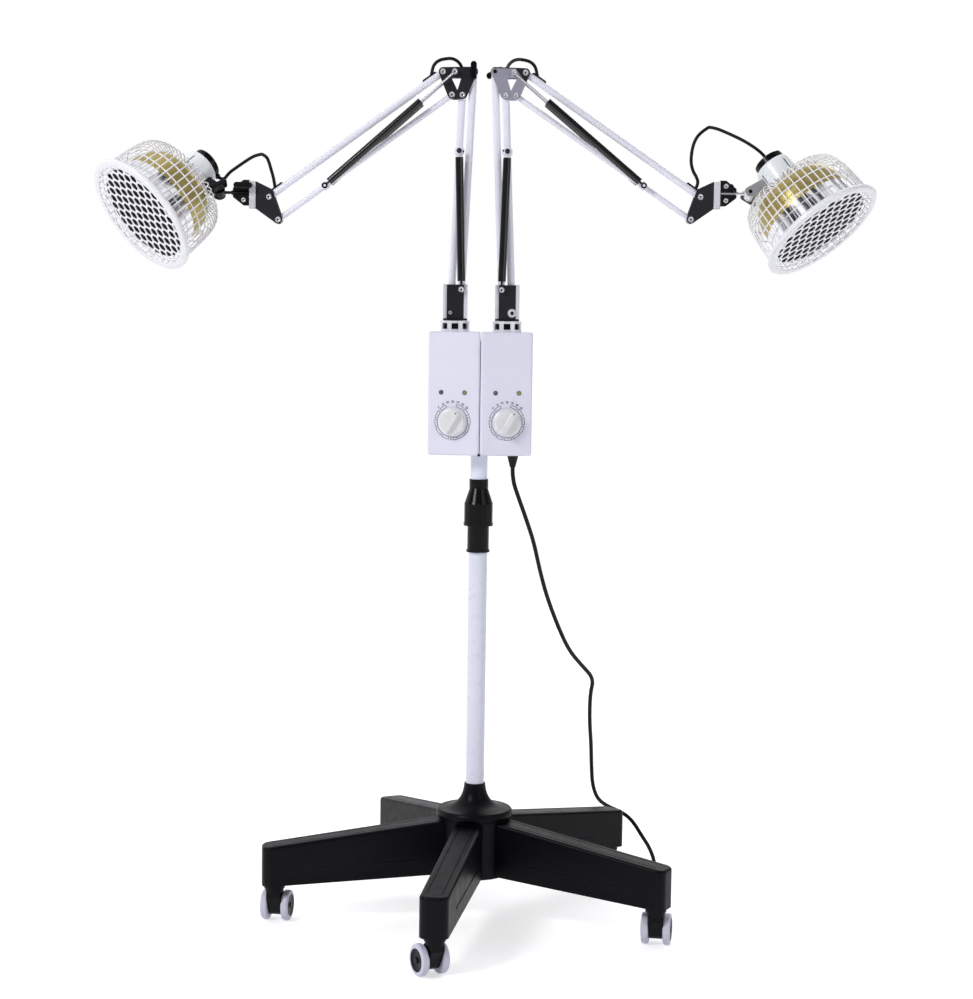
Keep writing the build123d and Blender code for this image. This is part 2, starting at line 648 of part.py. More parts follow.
with BuildPart() as indicator_lenses:
    for lamp_panel in lamp_panels:
        with BuildSketch(lamp_panel.offset(LAMP_PROUD - LAMP_LENGTH)):
            Circle(LAMP_D / 2)
        extrude(amount=LAMP_LENGTH)
    fillet(indicator_lenses.faces().filter_by(GeomType.PLANE).group_by(Axis.Y)[0].edges(), LAMP_PROUD)
    mirror(about=Plane.YZ)
save(indicator_lenses, "indicator_lenses")

with BuildPart() as timer_units:
    with BuildSketch(knob_panel.offset(-BOX_WALL - TIMER_GAP)):
        RectangleRounded(TIMER_W, TIMER_W, BOX_SEAM_R)
    extrude(amount=-TIMER_DEPTH)
    with BuildSketch(knob_panel.offset(-BOX_WALL - TIMER_GAP)):
        Circle(BUSHING_D / 2)
    extrude(amount=BOX_WALL + TIMER_GAP + BUSHING_PROUD)
    with BuildSketch(knob_panel.offset(BUSHING_PROUD)):
        Circle(SHAFT_D / 2 + RUNNING_FIT)
    extrude(amount=-BUSHING_PROUD - SHAFT_REACH - SIDE_GAP, mode=Mode.SUBTRACT)
    mirror(about=Plane.YZ)
save(timer_units, "timer_units")

with BuildPart() as timer_knob:
    # drawn on the XY plane with its pointer up +Y and its shaft down -Z
    with BuildSketch(Plane.XY.offset(KNOB_GAP)):
        Circle(KNOB_D / 2)
    extrude(amount=KNOB_H, taper=math.degrees(math.atan2((KNOB_D - KNOB_TOP_D) / 2, KNOB_H)))
    with BuildSketch(Plane.XY.offset(KNOB_GAP + KNOB_H / 2)):
        SlotOverall(KNOB_TOP_D, KNOB_GRIP_W, rotation=90)
    extrude(amount=KNOB_H / 2 + KNOB_GRIP_H)
    fillet(timer_knob.faces().sort_by(Axis.Z)[-1].edges(), KNOB_GRIP_W / 6)
    rod((0, 0, KNOB_GAP), (0, 0, -SHAFT_REACH), SHAFT_D / 2)
save(timer_knob, "timer_knob_right", knob_panel.location * Location((0, 0, 0), (0, 0, -KNOB_POINTS)))
left_knob_panel = Plane(
    origin=(-knob_panel.origin.X, knob_panel.origin.Y, knob_panel.origin.Z),
    x_dir=turned(-PANEL_SLOPE), z_dir=turned(-PANEL_SLOPE - 90),
)
save(timer_knob, "timer_knob_left", left_knob_panel.location * Location((0, 0, 0), (0, 0, -KNOB_POINTS)))

with BuildPart() as box_bracket:
    bracket_middle = BRACKET_BOTTOM + BRACKET_H / 2
    with BuildSketch(Plane.XZ.offset(-BOX_BACK - SEAT_GAP)):
        with Locations((0, bracket_middle)):
            RectangleRounded(BRACKET_W, BRACKET_H, BRACKET_CORNER_R)
            with GridLocations(2 * BRACKET_SCREW_X, 2 * BRACKET_SCREW_Z, 2, 2):
                Circle(SCREW_D / 2 + SEAT_GAP, mode=Mode.SUBTRACT)
    extrude(amount=-BRACKET_T)
    with BuildSketch(Plane.XY.offset(BRACKET_BOTTOM)):
        with Locations((0, (BOX_BACK + SEAT_GAP) / 2)):
            Rectangle(SADDLE_W, BOX_BACK + SEAT_GAP)
        Circle(UPPER_TUBE_D / 2, mode=Mode.SUBTRACT)
    extrude(amount=BRACKET_H)
    # screws into the rear covers
    screw_head = BOX_BACK + SEAT_GAP + BRACKET_T + SEAT_GAP
    for x in (-BRACKET_SCREW_X, BRACKET_SCREW_X):
        for z in (bracket_middle - BRACKET_SCREW_Z, bracket_middle + BRACKET_SCREW_Z):
            cross_rod(x, z, SCREW_D / 2, screw_head - SCREW_LENGTH - BRACKET_T, screw_head)
            cross_rod(x, z, SCREW_HEAD_D / 2, screw_head, screw_head + SCREW_HEAD_H)
save(box_bracket, "box_bracket")

# ------------------------------------------------------------------ mains cord
cord_exit = Vector(CORD_EXIT_X, CORD_EXIT_Y, BOX_BOTTOM - RELIEF_LENGTH)

with BuildPart() as strain_relief:
    with BuildSketch(Plane(origin=(CORD_EXIT_X, CORD_EXIT_Y, BOX_BOTTOM), z_dir=(0, 0, -1))):
        Circle(RELIEF_TOP_D / 2)
    with BuildSketch(Plane(origin=cord_exit, z_dir=(0, 0, -1))):
        Circle(RELIEF_TIP_D / 2)
    loft()
save(strain_relief, "strain_relief")

coil_x, coil_y = COIL_CENTRE
coil_join = Vector(coil_x + COIL_TURN_R + CORD_D + SEAT_GAP, coil_y, CORD_D / 2)
plug_tail = Vector(coil_x - PLUG_RUN, coil_y + COIL_TURN_R, PLUG_HEIGHT / 2)
coil_end = Vector(coil_x, coil_y + COIL_TURN_R, CORD_D * (COIL_LAYERS - 0.5))
coil_outer = COIL_TURN_R + CORD_D / 2
coil_inner = COIL_TURN_R - CORD_D / 2
coil_clear = math.sqrt(coil_outer**2 - coil_inner**2) + CORD_D / 2
route = [cord_exit] + [Vector(*point) for point in ROUTE_TO_COIL] + [coil_join]


def corner_radii(points):
    """Largest arcs that the two runs beside each corner allow."""
    radii = []
    for before, corner, after in zip(points, points[1:], points[2:]):
        first, second = corner - before, after - corner
        half_turn = math.radians(first.get_angle(second)) / 2
        radii.append(0.45 * min(first.length, second.length) / math.tan(half_turn))
    return radii


cord_radii = corner_radii(route)
with BuildPart() as mains_cord:
    with BuildLine() as cord_line:
        FilletPolyline(*route, radius=cord_radii)
    with BuildSketch(Plane(origin=cord_exit, z_dir=route[1] - route[0])):
        Circle(CORD_D / 2)
    sweep()
    # last stretch, from where the top turn clears the coil to the plug's tail
    last_run = coil_end - plug_tail
    rod(plug_tail + last_run * (1 - coil_clear / PLUG_RUN), plug_tail, CORD_D / 2)
save(mains_cord, "mains_cord")

with BuildPart() as cord_coil:
    with BuildSketch(Plane.XZ):
        with Locations((COIL_TURN_R, CORD_D * COIL_LAYERS / 2)):
            RectangleRounded(CORD_D, CORD_D * COIL_LAYERS, COIL_EDGE_R)
    revolve(axis=Axis.Z)
save(cord_coil, "cord_coil", Location((coil_x, coil_y, 0)))

with BuildPart() as plug:
    # moulded body with two round pins, lying flat on the floor; origin at the end of its tail
    with BuildSketch(Plane.YZ.offset(-PLUG_TAIL_LENGTH)):
        RectangleRounded(PLUG_WIDTH, PLUG_HEIGHT, PLUG_EDGE_R)
    extrude(amount=-PLUG_LENGTH)
    with BuildSketch(Plane.YZ.offset(-PLUG_TAIL_LENGTH - PLUG_LENGTH)):
        with Locations((-PLUG_PIN_SPACING / 2, 0), (PLUG_PIN_SPACING / 2, 0)):
            Circle(PLUG_PIN_D / 2)
    extrude(amount=-PLUG_PIN_LENGTH)
    fillet(plug.faces().group_by(Axis.X)[0].edges(), PLUG_PIN_D / 4)
    with BuildSketch(Plane.YZ.offset(-PLUG_TAIL_LENGTH)):
        Circle(PLUG_TAIL_D / 2)
    with BuildSketch(Plane.YZ.offset(-SEAT_GAP)):
        Circle(RELIEF_TIP_D / 2)
    loft()
save(plug, "plug", Location(plug_tail))

# ------------------------------------------------------------------ arm sockets
with BuildPart() as arm_sockets:
    for side in (-1, 1):
        socket_x = side * ARM_SPACING / 2
        rod((socket_x, 0, BOX_TOP), (socket_x, 0, SOCKET_TOP), SOCKET_D / 2)
        rod((socket_x, 0, BOX_TOP), (socket_x, 0, SOCKET_TOP), SPIGOT_D / 2 + RUNNING_FIT, Mode.SUBTRACT)
        with BuildSketch(Plane.XY.offset((BOX_TOP + SOCKET_TOP - SOCKET_WINDOW_H) / 2)):
            with Locations((socket_x, 0)):
                with PolarLocations(SOCKET_D / 2, SOCKET_WINDOWS, start_angle=90):
                    Rectangle(2 * SOCKET_WINDOW_DEPTH, SOCKET_WINDOW_W)
        extrude(amount=SOCKET_WINDOW_H, mode=Mode.SUBTRACT)
save(arm_sockets, "arm_sockets")

# ------------------------------------------------------------------ arm pieces, each in its own frame
fork_low = Vector(FORK_PIVOT_X, 0, BOX_TOP + FORK_PIVOT_RISE)
fork_high = fork_low + Vector(FORK_PAIR_X, 0, FORK_PAIR_Z)

with BuildPart() as arm_fork:
    rod((0, 0, BOX_TOP + SIDE_GAP), (0, 0, FORK_BASE), SPIGOT_D / 2)
    fork_top = BOX_TOP + FORK_HEIGHT
    with BuildSketch(Plane.XY.offset(FORK_BASE)):
        Rectangle(FORK_WIDTH, FORK_BASE_Y)
    extrude(amount=FORK_BASE_T)
    for side in (-1, 1):
        with BuildSketch(Plane.XY.offset(FORK_BASE)):
            with Locations((0, side * (CHEEK_IN + CHEEK_OUT) / 2)):
                Rectangle(FORK_WIDTH, CHEEK_T)
            with GridLocations(FORK_WIDTH - FORK_FLANGE_T, 0, 2, 1):
                with Locations((0, side * (CHEEK_IN + FORK_FLANGE_Y / 2))):
                    Rectangle(FORK_FLANGE_T, FORK_FLANGE_Y)
        extrude(amount=fork_top - FORK_BASE)
    for pivot in (fork_low, fork_high):
        cross_rod(pivot.X, pivot.Z, PIN_D / 2 + SEAT_GAP, -FORK_BASE_Y, FORK_BASE_Y, Mode.SUBTRACT)
    rivet(fork_low.X, fork_low.Z, CHEEK_OUT + SEAT_GAP, CHEEK_OUT + SEAT_GAP)
    rivet(fork_high.X, fork_high.Z, SPRING_PIN_OUT, SPRING_PIN_OUT - RIVET_HEAD_H)


def eyed_bar(length, diameter, end_gap):
    """Round bar along +Z with a cross-bored eye at each end, origin in the lower eye."""
    rod((0, 0, 0), (0, 0, length), diameter / 2)
    for z, gap in ((0, RUNNING_FIT), (length, end_gap)):
        cross_rod(0, z, EYE_D / 2, -LOWER_BAR_D / 2, LOWER_BAR_D / 2)
        cross_rod(0, z, PIN_D / 2 + gap, -LOWER_BAR_D, LOWER_BAR_D, Mode.SUBTRACT)


def clip(at, diameter):
    """Spring clip round a bar, with a pin that reaches both springs."""
    bore = diameter / 2 + SEAT_GAP
    pin_end = SPRING_Y + SPRING_EYE_W / 2 + SEAT_GAP
    rod((0, 0, at - CLIP_LENGTH / 2), (0, 0, at + CLIP_LENGTH / 2), diameter / 2 + CLIP_WALL)
    for side in (-1, 1):
        cross_rod(0, at, CLIP_PIN_D / 2, side * bore, side * pin_end)
    rod((0, 0, at - CLIP_LENGTH), (0, 0, at + CLIP_LENGTH), bore, Mode.SUBTRACT)
    rod((0, 0, at - CLIP_LENGTH), (0, 0, at + CLIP_LENGTH), diameter / 2)


with BuildPart() as lower_outer_bar:
    eyed_bar(LOWER_ARM_LENGTH, LOWER_BAR_D, RUNNING_FIT)
    clip(LOWER_CLIP_AT, LOWER_BAR_D)
    slant = math.radians(LOWER_WIRE_SLANT)
    wire = Vector(-math.sin(slant), 0, -math.cos(slant)) * LOWER_WIRE_LENGTH
    for side in (-1, 1):
        wire_top = Vector(0, side * SPRING_Y, LOWER_CLIP_AT)
        rod(wire_top, wire_top + wire, LOWER_WIRE_D / 2)

with BuildPart() as lower_inner_bar:
    eyed_bar(LOWER_ARM_LENGTH, LOWER_BAR_D, OPEN_EYE_GAP)

with BuildPart() as lower_springs:
    # origin at the fork's upper pin; the sleeves run up +Z and are open at the top
    for side in (-1, 1):
        y = side * SPRING_Y
        cross_rod(0, 0, SPRING_EYE_D / 2, y - SPRING_EYE_W / 2, y + SPRING_EYE_W / 2)
        sleeve_top = LOWER_SLEEVE_FROM + LOWER_SLEEVE_LENGTH
        rod((0, y, 0), (0, y, LOWER_SLEEVE_FROM), SPRING_NECK_D / 2)
        rod((0, y, LOWER_SLEEVE_FROM), (0, y, sleeve_top), LOWER_SLEEVE_D / 2)
        rod((0, y, LOWER_SLEEVE_FROM + SPRING_EYE_W), (0, y, sleeve_top), SPRING_BORE_D / 2, Mode.SUBTRACT)
        cross_rod(0, 0, PIN_D / 2 + RUNNING_FIT, y - SPRING_EYE_D, y + SPRING_EYE_D, Mode.SUBTRACT)

# elbow: origin at the pivot of the lower outer bar
elbow_high_inner = Vector(FORK_PAIR_X, 0, FORK_PAIR_Z)
elbow_low_outer = Vector(ELBOW_OFFSET, 0, 0)
elbow_high_outer = elbow_low_outer + Vector(ELBOW_PAIR_X, 0, ELBOW_PAIR_Z)
anchor = Vector(ANCHOR_X, 0, ANCHOR_Z)

with BuildPart() as elbow_plates:
    pivots = (Vector(0, 0, 0), elbow_low_outer, elbow_high_outer, elbow_high_inner)
    for side in (-1, 1):
        with BuildSketch(Plane.XZ.offset(CHEEK_IN if side < 0 else -CHEEK_OUT)):
            with Locations(*[(pivot.X, pivot.Z) for pivot in pivots]):
                Circle(ELBOW_PLATE_R)
            make_hull()
            Polygon(*ELBOW_WINDOW, align=None, mode=Mode.SUBTRACT)
            with Locations(*[(pivot.X, pivot.Z) for pivot in pivots]):
                Circle(PIN_D / 2 + SEAT_GAP, mode=Mode.SUBTRACT)
            with Locations((anchor.X, anchor.Z)):
                Circle(PIN_D / 2 + SEAT_GAP, mode=Mode.SUBTRACT)
        extrude(amount=CHEEK_T)
    for pivot in (Vector(0, 0, 0), elbow_low_outer, elbow_high_outer):
        rivet(pivot.X, pivot.Z, CHEEK_OUT + SEAT_GAP, CHEEK_OUT + SEAT_GAP)
    rivet(anchor.X, anchor.Z, SPRING_PIN_OUT, SPRING_PIN_OUT - RIVET_HEAD_H)
    with BuildSketch(Plane.XZ.offset(-CHEEK_IN)) as block:
        with Locations((sum(LEAD_BLOCK_X) / 2, sum(LEAD_BLOCK_Z) / 2)):
            Rectangle(LEAD_BLOCK_X[1] - LEAD_BLOCK_X[0], LEAD_BLOCK_Z[1] - LEAD_BLOCK_Z[0])
    extrude(block.sketch, amount=2 * CHEEK_IN)
    with BuildLine() as lead_path:
        ThreePointArc(*LEAD_RISE)
    with BuildSketch(Plane(origin=LEAD_RISE[0], z_dir=lead_path.line % 0)) as lead_section:
        Circle(LEAD_D / 2)
    sweep(lead_section.sketch, path=lead_path.line)


def wing_knob(bolt_reach):
    """Wing knob with its bolt down -Z and its hub standing on the XY plane."""
    with BuildPart() as knob:
        rod((0, 0, 0), (0, 0, WING_HUB_H), WING_HUB_D / 2)
        with BuildSketch(Plane.XY.offset(WING_HUB_H - WING_T)):
            SlotOverall(WING_SPAN, WING_W)
        extrude(amount=2 * WING_T)
        fillet(knob.faces().sort_by(Axis.Z)[-1].edges(), WING_T / 3)
        rod((0, 0, 0), (0, 0, -bolt_reach), PIN_D / 2)
    return knob


elbow_knob = wing_knob(2 * CHEEK_OUT + RIVET_HEAD_H)

with BuildPart() as upper_low_bar:
    eyed_bar(UPPER_ARM_LENGTH, UPPER_LOW_BAR_D, RUNNING_FIT)
    clip(UPPER_CLIP_AT, UPPER_LOW_BAR_D)

with BuildPart() as upper_top_bar:
    eyed_bar(UPPER_ARM_LENGTH, UPPER_TOP_BAR_D, OPEN_EYE_GAP)

with BuildPart() as upper_spring_sleeves:
    # origin at the clip's pin; the sleeves run up +Z towards the elbow and are open there
    for side in (-1, 1):
        y = side * SPRING_Y
        sleeve_top = UPPER_SLEEVE_FROM + UPPER_SLEEVE_LENGTH
        cross_rod(0, 0, SPRING_EYE_D / 2, y - SPRING_EYE_W / 2, y + SPRING_EYE_W / 2)
        rod((0, y, 0), (0, y, UPPER_SLEEVE_FROM), SPRING_NECK_D / 2)
        rod((0, y, UPPER_SLEEVE_FROM), (0, y, sleeve_top), UPPER_SLEEVE_D / 2)
        rod((0, y, UPPER_SLEEVE_FROM + SPRING_EYE_W), (0, y, sleeve_top), SPRING_BORE_D / 2, Mode.SUBTRACT)
        cross_rod(0, 0, CLIP_PIN_D / 2 + RUNNING_FIT, y - SPRING_EYE_D, y + SPRING_EYE_D, Mode.SUBTRACT)

with BuildPart() as upper_spring_rods:
    # origin at the elbow's anchor pin; the rods run up +Z into the sleeves
    for side in (-1, 1):
        y = side * SPRING_Y
        cross_rod(0, 0, SPRING_EYE_D / 2, y - SPRING_EYE_W / 2, y + SPRING_EYE_W / 2)
        rod((0, y, 0), (0, y, UPPER_ROD_LENGTH), UPPER_ROD_D / 2)
        cross_rod(0, 0, PIN_D / 2 + RUNNING_FIT, y - SPRING_EYE_D, y + SPRING_EYE_D, Mode.SUBTRACT)

# head bracket: origin at its lower pivot
bracket_high = Vector(ELBOW_PAIR_X, 0, ELBOW_PAIR_Z)
with BuildPart() as head_bracket:
    for side in (-1, 1):
        with BuildSketch(Plane.XZ.offset(CHEEK_IN if side < 0 else -CHEEK_OUT)):
            Circle(BRACKET_CHEEK_R)
            with Locations((bracket_high.X, bracket_high.Z + BRACKET_CHEEK_R)):
                Circle(BRACKET_CHEEK_R)
            with Locations((BAND_FROM, (BAND_BOTTOM + BAND_TOP) / 2)):
                Rectangle(2, BAND_TOP - BAND_BOTTOM)
            make_hull()
            with Locations((0, 0), (bracket_high.X, bracket_high.Z)):
                Circle(PIN_D / 2 + SEAT_GAP, mode=Mode.SUBTRACT)
        extrude(amount=CHEEK_T)
    # band and split clamp that hold the stud
    with BuildSketch(Plane.XZ):
        with Locations(((BAND_FROM + BAND_TO) / 2, (BAND_BOTTOM + BAND_TOP) / 2)):
            Rectangle(BAND_TO - BAND_FROM, BAND_TOP - BAND_BOTTOM)
    extrude(amount=CHEEK_OUT, both=True)
    with BuildSketch(Plane.XZ):
        Polygon(
            (BAND_TO, HEAD_AXIS_Z - CLAMP_R), (BAND_TO, HEAD_AXIS_Z + CLAMP_R),
            (CLAMP_RIVET_X, HEAD_AXIS_Z + CLAMP_R), (CLAMP_TO, HEAD_AXIS_Z + CLAMP_NOSE_H / 2),
            (CLAMP_TO, HEAD_AXIS_Z - CLAMP_NOSE_H / 2), (CLAMP_RIVET_X, HEAD_AXIS_Z - CLAMP_R),
            align=None,
        )
    extrude(amount=CHEEK_OUT - SIDE_GAP, both=True)
    with BuildSketch(Plane.XZ):
        with Locations(((BAND_TO + CLAMP_TO) / 2 + SIDE_GAP, HEAD_AXIS_Z)):
            Rectangle(CLAMP_TO - BAND_TO + SIDE_GAP, CLAMP_SLOT_H)
    extrude(amount=2 * CHEEK_OUT, both=True, mode=Mode.SUBTRACT)
    rod((BAND_FROM + SIDE_GAP, 0, HEAD_AXIS_Z), (CLAMP_TO, 0, HEAD_AXIS_Z), STUD_D / 2 + RUNNING_FIT,
        Mode.SUBTRACT)
    for rise in (-CLAMP_RIVET_RISE, CLAMP_RIVET_RISE):
        cross_rod(CLAMP_RIVET_X, HEAD_AXIS_Z + rise, RIVET_HEAD_D / 3, -CHEEK_OUT, CHEEK_OUT)
    rivet(0, 0, CHEEK_OUT + SEAT_GAP, CHEEK_OUT + SEAT_GAP)
    rivet(bracket_high.X, bracket_high.Z, CHEEK_OUT + SEAT_GAP, CHEEK_OUT + SEAT_GAP)
    clamp_wing = wing_knob(CHEEK_T).part
    add(clamp_wing.moved(Location(
        (CLAMP_RIVET_X, CHEEK_OUT + SEAT_GAP, HEAD_AXIS_Z + CLAMP_RIVET_RISE), (-90, 0, 0)
    )))

with BuildPart() as stud:
    # origin at the tilt pin, rod back along -X
    rod((BAND_FROM + 2 * SIDE_GAP - STUD_REACH, 0, 0), (STUD_NECK_FROM - STUD_REACH, 0, 0), STUD_D / 2)
    rod((STUD_NECK_FROM - STUD_REACH, 0, 0), (0, 0, 0), STUD_NECK_D / 2)
    cross_rod(0, 0, STUD_EYE_D / 2, -STUD_EYE_W / 2, STUD_EYE_W / 2)
    cross_rod(0, 0, PIN_D / 2 + RUNNING_FIT, -STUD_EYE_W, STUD_EYE_W, Mode.SUBTRACT)

tilt_knob = wing_knob(2 * (STUD_EYE_W / 2 + SIDE_GAP + EAR_T) + RIVET_HEAD_H)

# ------------------------------------------------------------------ lamp head, in its own frame
ear_in = STUD_EYE_W / 2 + SIDE_GAP
ear_out = ear_in + EAR_T

def lamp_cap(gland_on_side):
    """Ventilated cap with its black end disc; the gland is on the disc's side or on its middle."""
    with BuildPart() as cap:
        with BuildSketch(Plane.XZ):
            Polygon(
                (0, CAP_TOP), (CAP_D / 2, CAP_TOP), (CAP_D / 2, CAGE_TOP_Z + SEAT_GAP),
                (CAP_D / 2 - CAP_WALL, CAGE_TOP_Z + SEAT_GAP), (CAP_D / 2 - CAP_WALL, CAP_TOP - CAP_WALL),
                (0, CAP_TOP - CAP_WALL), align=None,
            )
        revolve(axis=Axis.Z)
        fillet(cap.faces().sort_by(Axis.Z)[-1].edges(), CAP_EDGE_R)
        with BuildSketch(Plane.XY.offset(CAP_SLOT_FROM)):
            with PolarLocations(CAP_D / 2, CAP_SLOTS, start_angle=360 / CAP_SLOTS / 2):
                Rectangle(4 * CAP_WALL, CAP_SLOT_W)
        extrude(amount=CAP_SLOT_TO - CAP_SLOT_FROM, mode=Mode.SUBTRACT)
        # two ears that hold the tilt pin
        for side in (-1, 1):
            with BuildSketch(Plane.XZ.offset(ear_in if side < 0 else -ear_out)):
                with Locations((TILT_PIN_X, TILT_PIN_Z)):
                    Circle(EAR_R)
                with Locations((CAP_D / 2 - CAP_WALL, TILT_PIN_Z)):
                    Rectangle(CAP_WALL, 2 * EAR_R)
                make_hull()
                with Locations((TILT_PIN_X, TILT_PIN_Z)):
                    Circle(PIN_D / 2 + RUNNING_FIT, mode=Mode.SUBTRACT)
            extrude(amount=EAR_T)
        # end disc and cable gland
        disc_top = CAP_TOP + END_DISC_H
        rod((0, 0, CAP_TOP + SEAT_GAP), (0, 0, disc_top), END_DISC_D / 2)
        if gland_on_side:
            middle = Vector(0, 0, CAP_TOP + END_DISC_H / 2)
            outward = turned(SIDE_GLAND_TURN)
            rod(middle, middle + outward * (END_DISC_D / 2 + GLAND_LENGTH), GLAND_D / 2)
        else:
            rod((0, 0, disc_top), (0, 0, disc_top + GLAND_LENGTH), GLAND_D / 2)
    return cap


with BuildPart() as reflector:
    # rear bowl with a mirror skirt below its waist, and the mineral heating plate in its mouth
    with BuildSketch(Plane.XZ):
        with BuildLine():
            Polyline(
                (REFLECTOR_MOUTH_R, REFLECTOR_MOUTH_Z), (REFLECTOR_WAIST_R, REFLECTOR_WAIST_Z)
            )
            Spline((REFLECTOR_WAIST_R, REFLECTOR_WAIST_Z), (REFLECTOR_DOME_R, REFLECTOR_DOME_Z),
                   (CAP_D / 2, REFLECTOR_TOP_Z))
            Polyline((CAP_D / 2, REFLECTOR_TOP_Z), (CAP_D / 2, REFLECTOR_TOP_Z - REFLECTOR_WALL))
            Spline((CAP_D / 2, REFLECTOR_TOP_Z - REFLECTOR_WALL),
                   (REFLECTOR_DOME_R - REFLECTOR_WALL, REFLECTOR_DOME_Z - REFLECTOR_WALL),
                   (REFLECTOR_WAIST_R - REFLECTOR_WALL, REFLECTOR_WAIST_Z))
            Polyline(
                (REFLECTOR_WAIST_R - REFLECTOR_WALL, REFLECTOR_WAIST_Z),
                (REFLECTOR_MOUTH_R - REFLECTOR_WALL, REFLECTOR_MOUTH_Z),
                (REFLECTOR_MOUTH_R, REFLECTOR_MOUTH_Z),
            )
        make_face()
    revolve(axis=Axis.Z)
    rod((0, 0, REFLECTOR_TOP_Z - REFLECTOR_WALL), (0, 0, REFLECTOR_TOP_Z), CAP_D / 2 + SEAT_GAP)
    rod((0, 0, HEAT_PLATE_Z), (0, 0, HEAT_PLATE_Z + HEAT_PLATE_T), HEAT_PLATE_D / 2)
    post_top = REFLECTOR_TOP_Z - REFLECTOR_WALL - SEAT_GAP
    rod((0, 0, HEAT_PLATE_Z + HEAT_PLATE_T + SEAT_GAP), (0, 0, post_top), HEAT_POST_D / 2)

with BuildPart() as guard:
    # slotted cage over the reflector
    with BuildSketch(Plane.XZ):
        with BuildLine():
            FilletPolyline(
                (CAGE_FOOT_D / 2, RIM_T), (CAGE_WAIST_D / 2, CAGE_WAIST_Z),
                (CAGE_WAIST_D / 2 - CAGE_SHOULDER_R / 2, CAGE_TOP_Z), (CAP_D / 2, CAGE_TOP_Z),
                radius=CAGE_SHOULDER_R / 2,
            )
            Line((CAP_D / 2, CAGE_TOP_Z), (CAP_D / 2, CAGE_TOP_Z - CAGE_T))
            FilletPolyline(
                (CAP_D / 2, CAGE_TOP_Z - CAGE_T),
                (CAGE_WAIST_D / 2 - CAGE_SHOULDER_R / 2 - CAGE_T, CAGE_TOP_Z - CAGE_T),
                (CAGE_WAIST_D / 2 - CAGE_T, CAGE_WAIST_Z), (CAGE_FOOT_D / 2 - CAGE_T, RIM_T),
                radius=CAGE_SHOULDER_R / 2 - CAGE_T / 2,
            )
            Line((CAGE_FOOT_D / 2 - CAGE_T, RIM_T), (CAGE_FOOT_D / 2, RIM_T))
        make_face()
    revolve(axis=Axis.Z)
    pitch = math.radians(360 / CAGE_WIRES)
    apex = CAGE_WIRE_W / 2 / math.sin(pitch / 2)
    reach = RIM_D / 2
    spread = (reach - apex) * math.tan(pitch / 2)
    bands = (RIM_T + CAGE_FOOT_H,) + CAGE_HOOPS
    for low, high in zip(bands, CAGE_HOOPS + (CAGE_TOP_Z + CAGE_T,)):
        bottom = low if low == bands[0] else low + CAGE_HOOP_W / 2
        top = high - CAGE_HOOP_W / 2 if high in CAGE_HOOPS else high
        with BuildSketch(Plane.XY.offset(bottom)):
            with PolarLocations(0, CAGE_WIRES):
                Polygon((apex, 0), (reach, spread), (reach, -spread), align=None)
            Circle(CAP_D / 2 + CAGE_HOOP_W, mode=Mode.SUBTRACT)
        extrude(amount=top - bottom, mode=Mode.SUBTRACT)
    # rim with its grille of hexagonal holes
    with BuildSketch(Plane.XY):
        Circle(RIM_D / 2)
        Circle(RIM_BORE_D / 2, mode=Mode.SUBTRACT)
    extrude(amount=RIM_T)
    with BuildSketch(Plane.XY):
        Circle(RIM_BORE_D / 2)
        with HexLocations(GRILLE_PITCH / 2, *GRILLE_ROWS):
            RegularPolygon((GRILLE_PITCH - GRILLE_BAR) / 2, 6, major_radius=False, mode=Mode.SUBTRACT)
    extrude(amount=GRILLE_T)

# ------------------------------------------------------------------ both arms in place
lean = math.radians(LOWER_LEAN)
lower_dir = Vector(-math.sin(lean), 0, math.cos(lean))
elbow_at = fork_low + lower_dir * LOWER_ARM_LENGTH


def slope(direction):
    """Degrees by which a direction in the plane of an arm leans from +Z towards +X."""
    return math.degrees(math.atan2(direction.X, direction.Z))


def pivoted(point, degrees, y=0.0):
    """Place of a piece drawn up +Z, turned about its pivot towards +X."""
    return Location((point.X, y, point.Z), (0, degrees, 0))


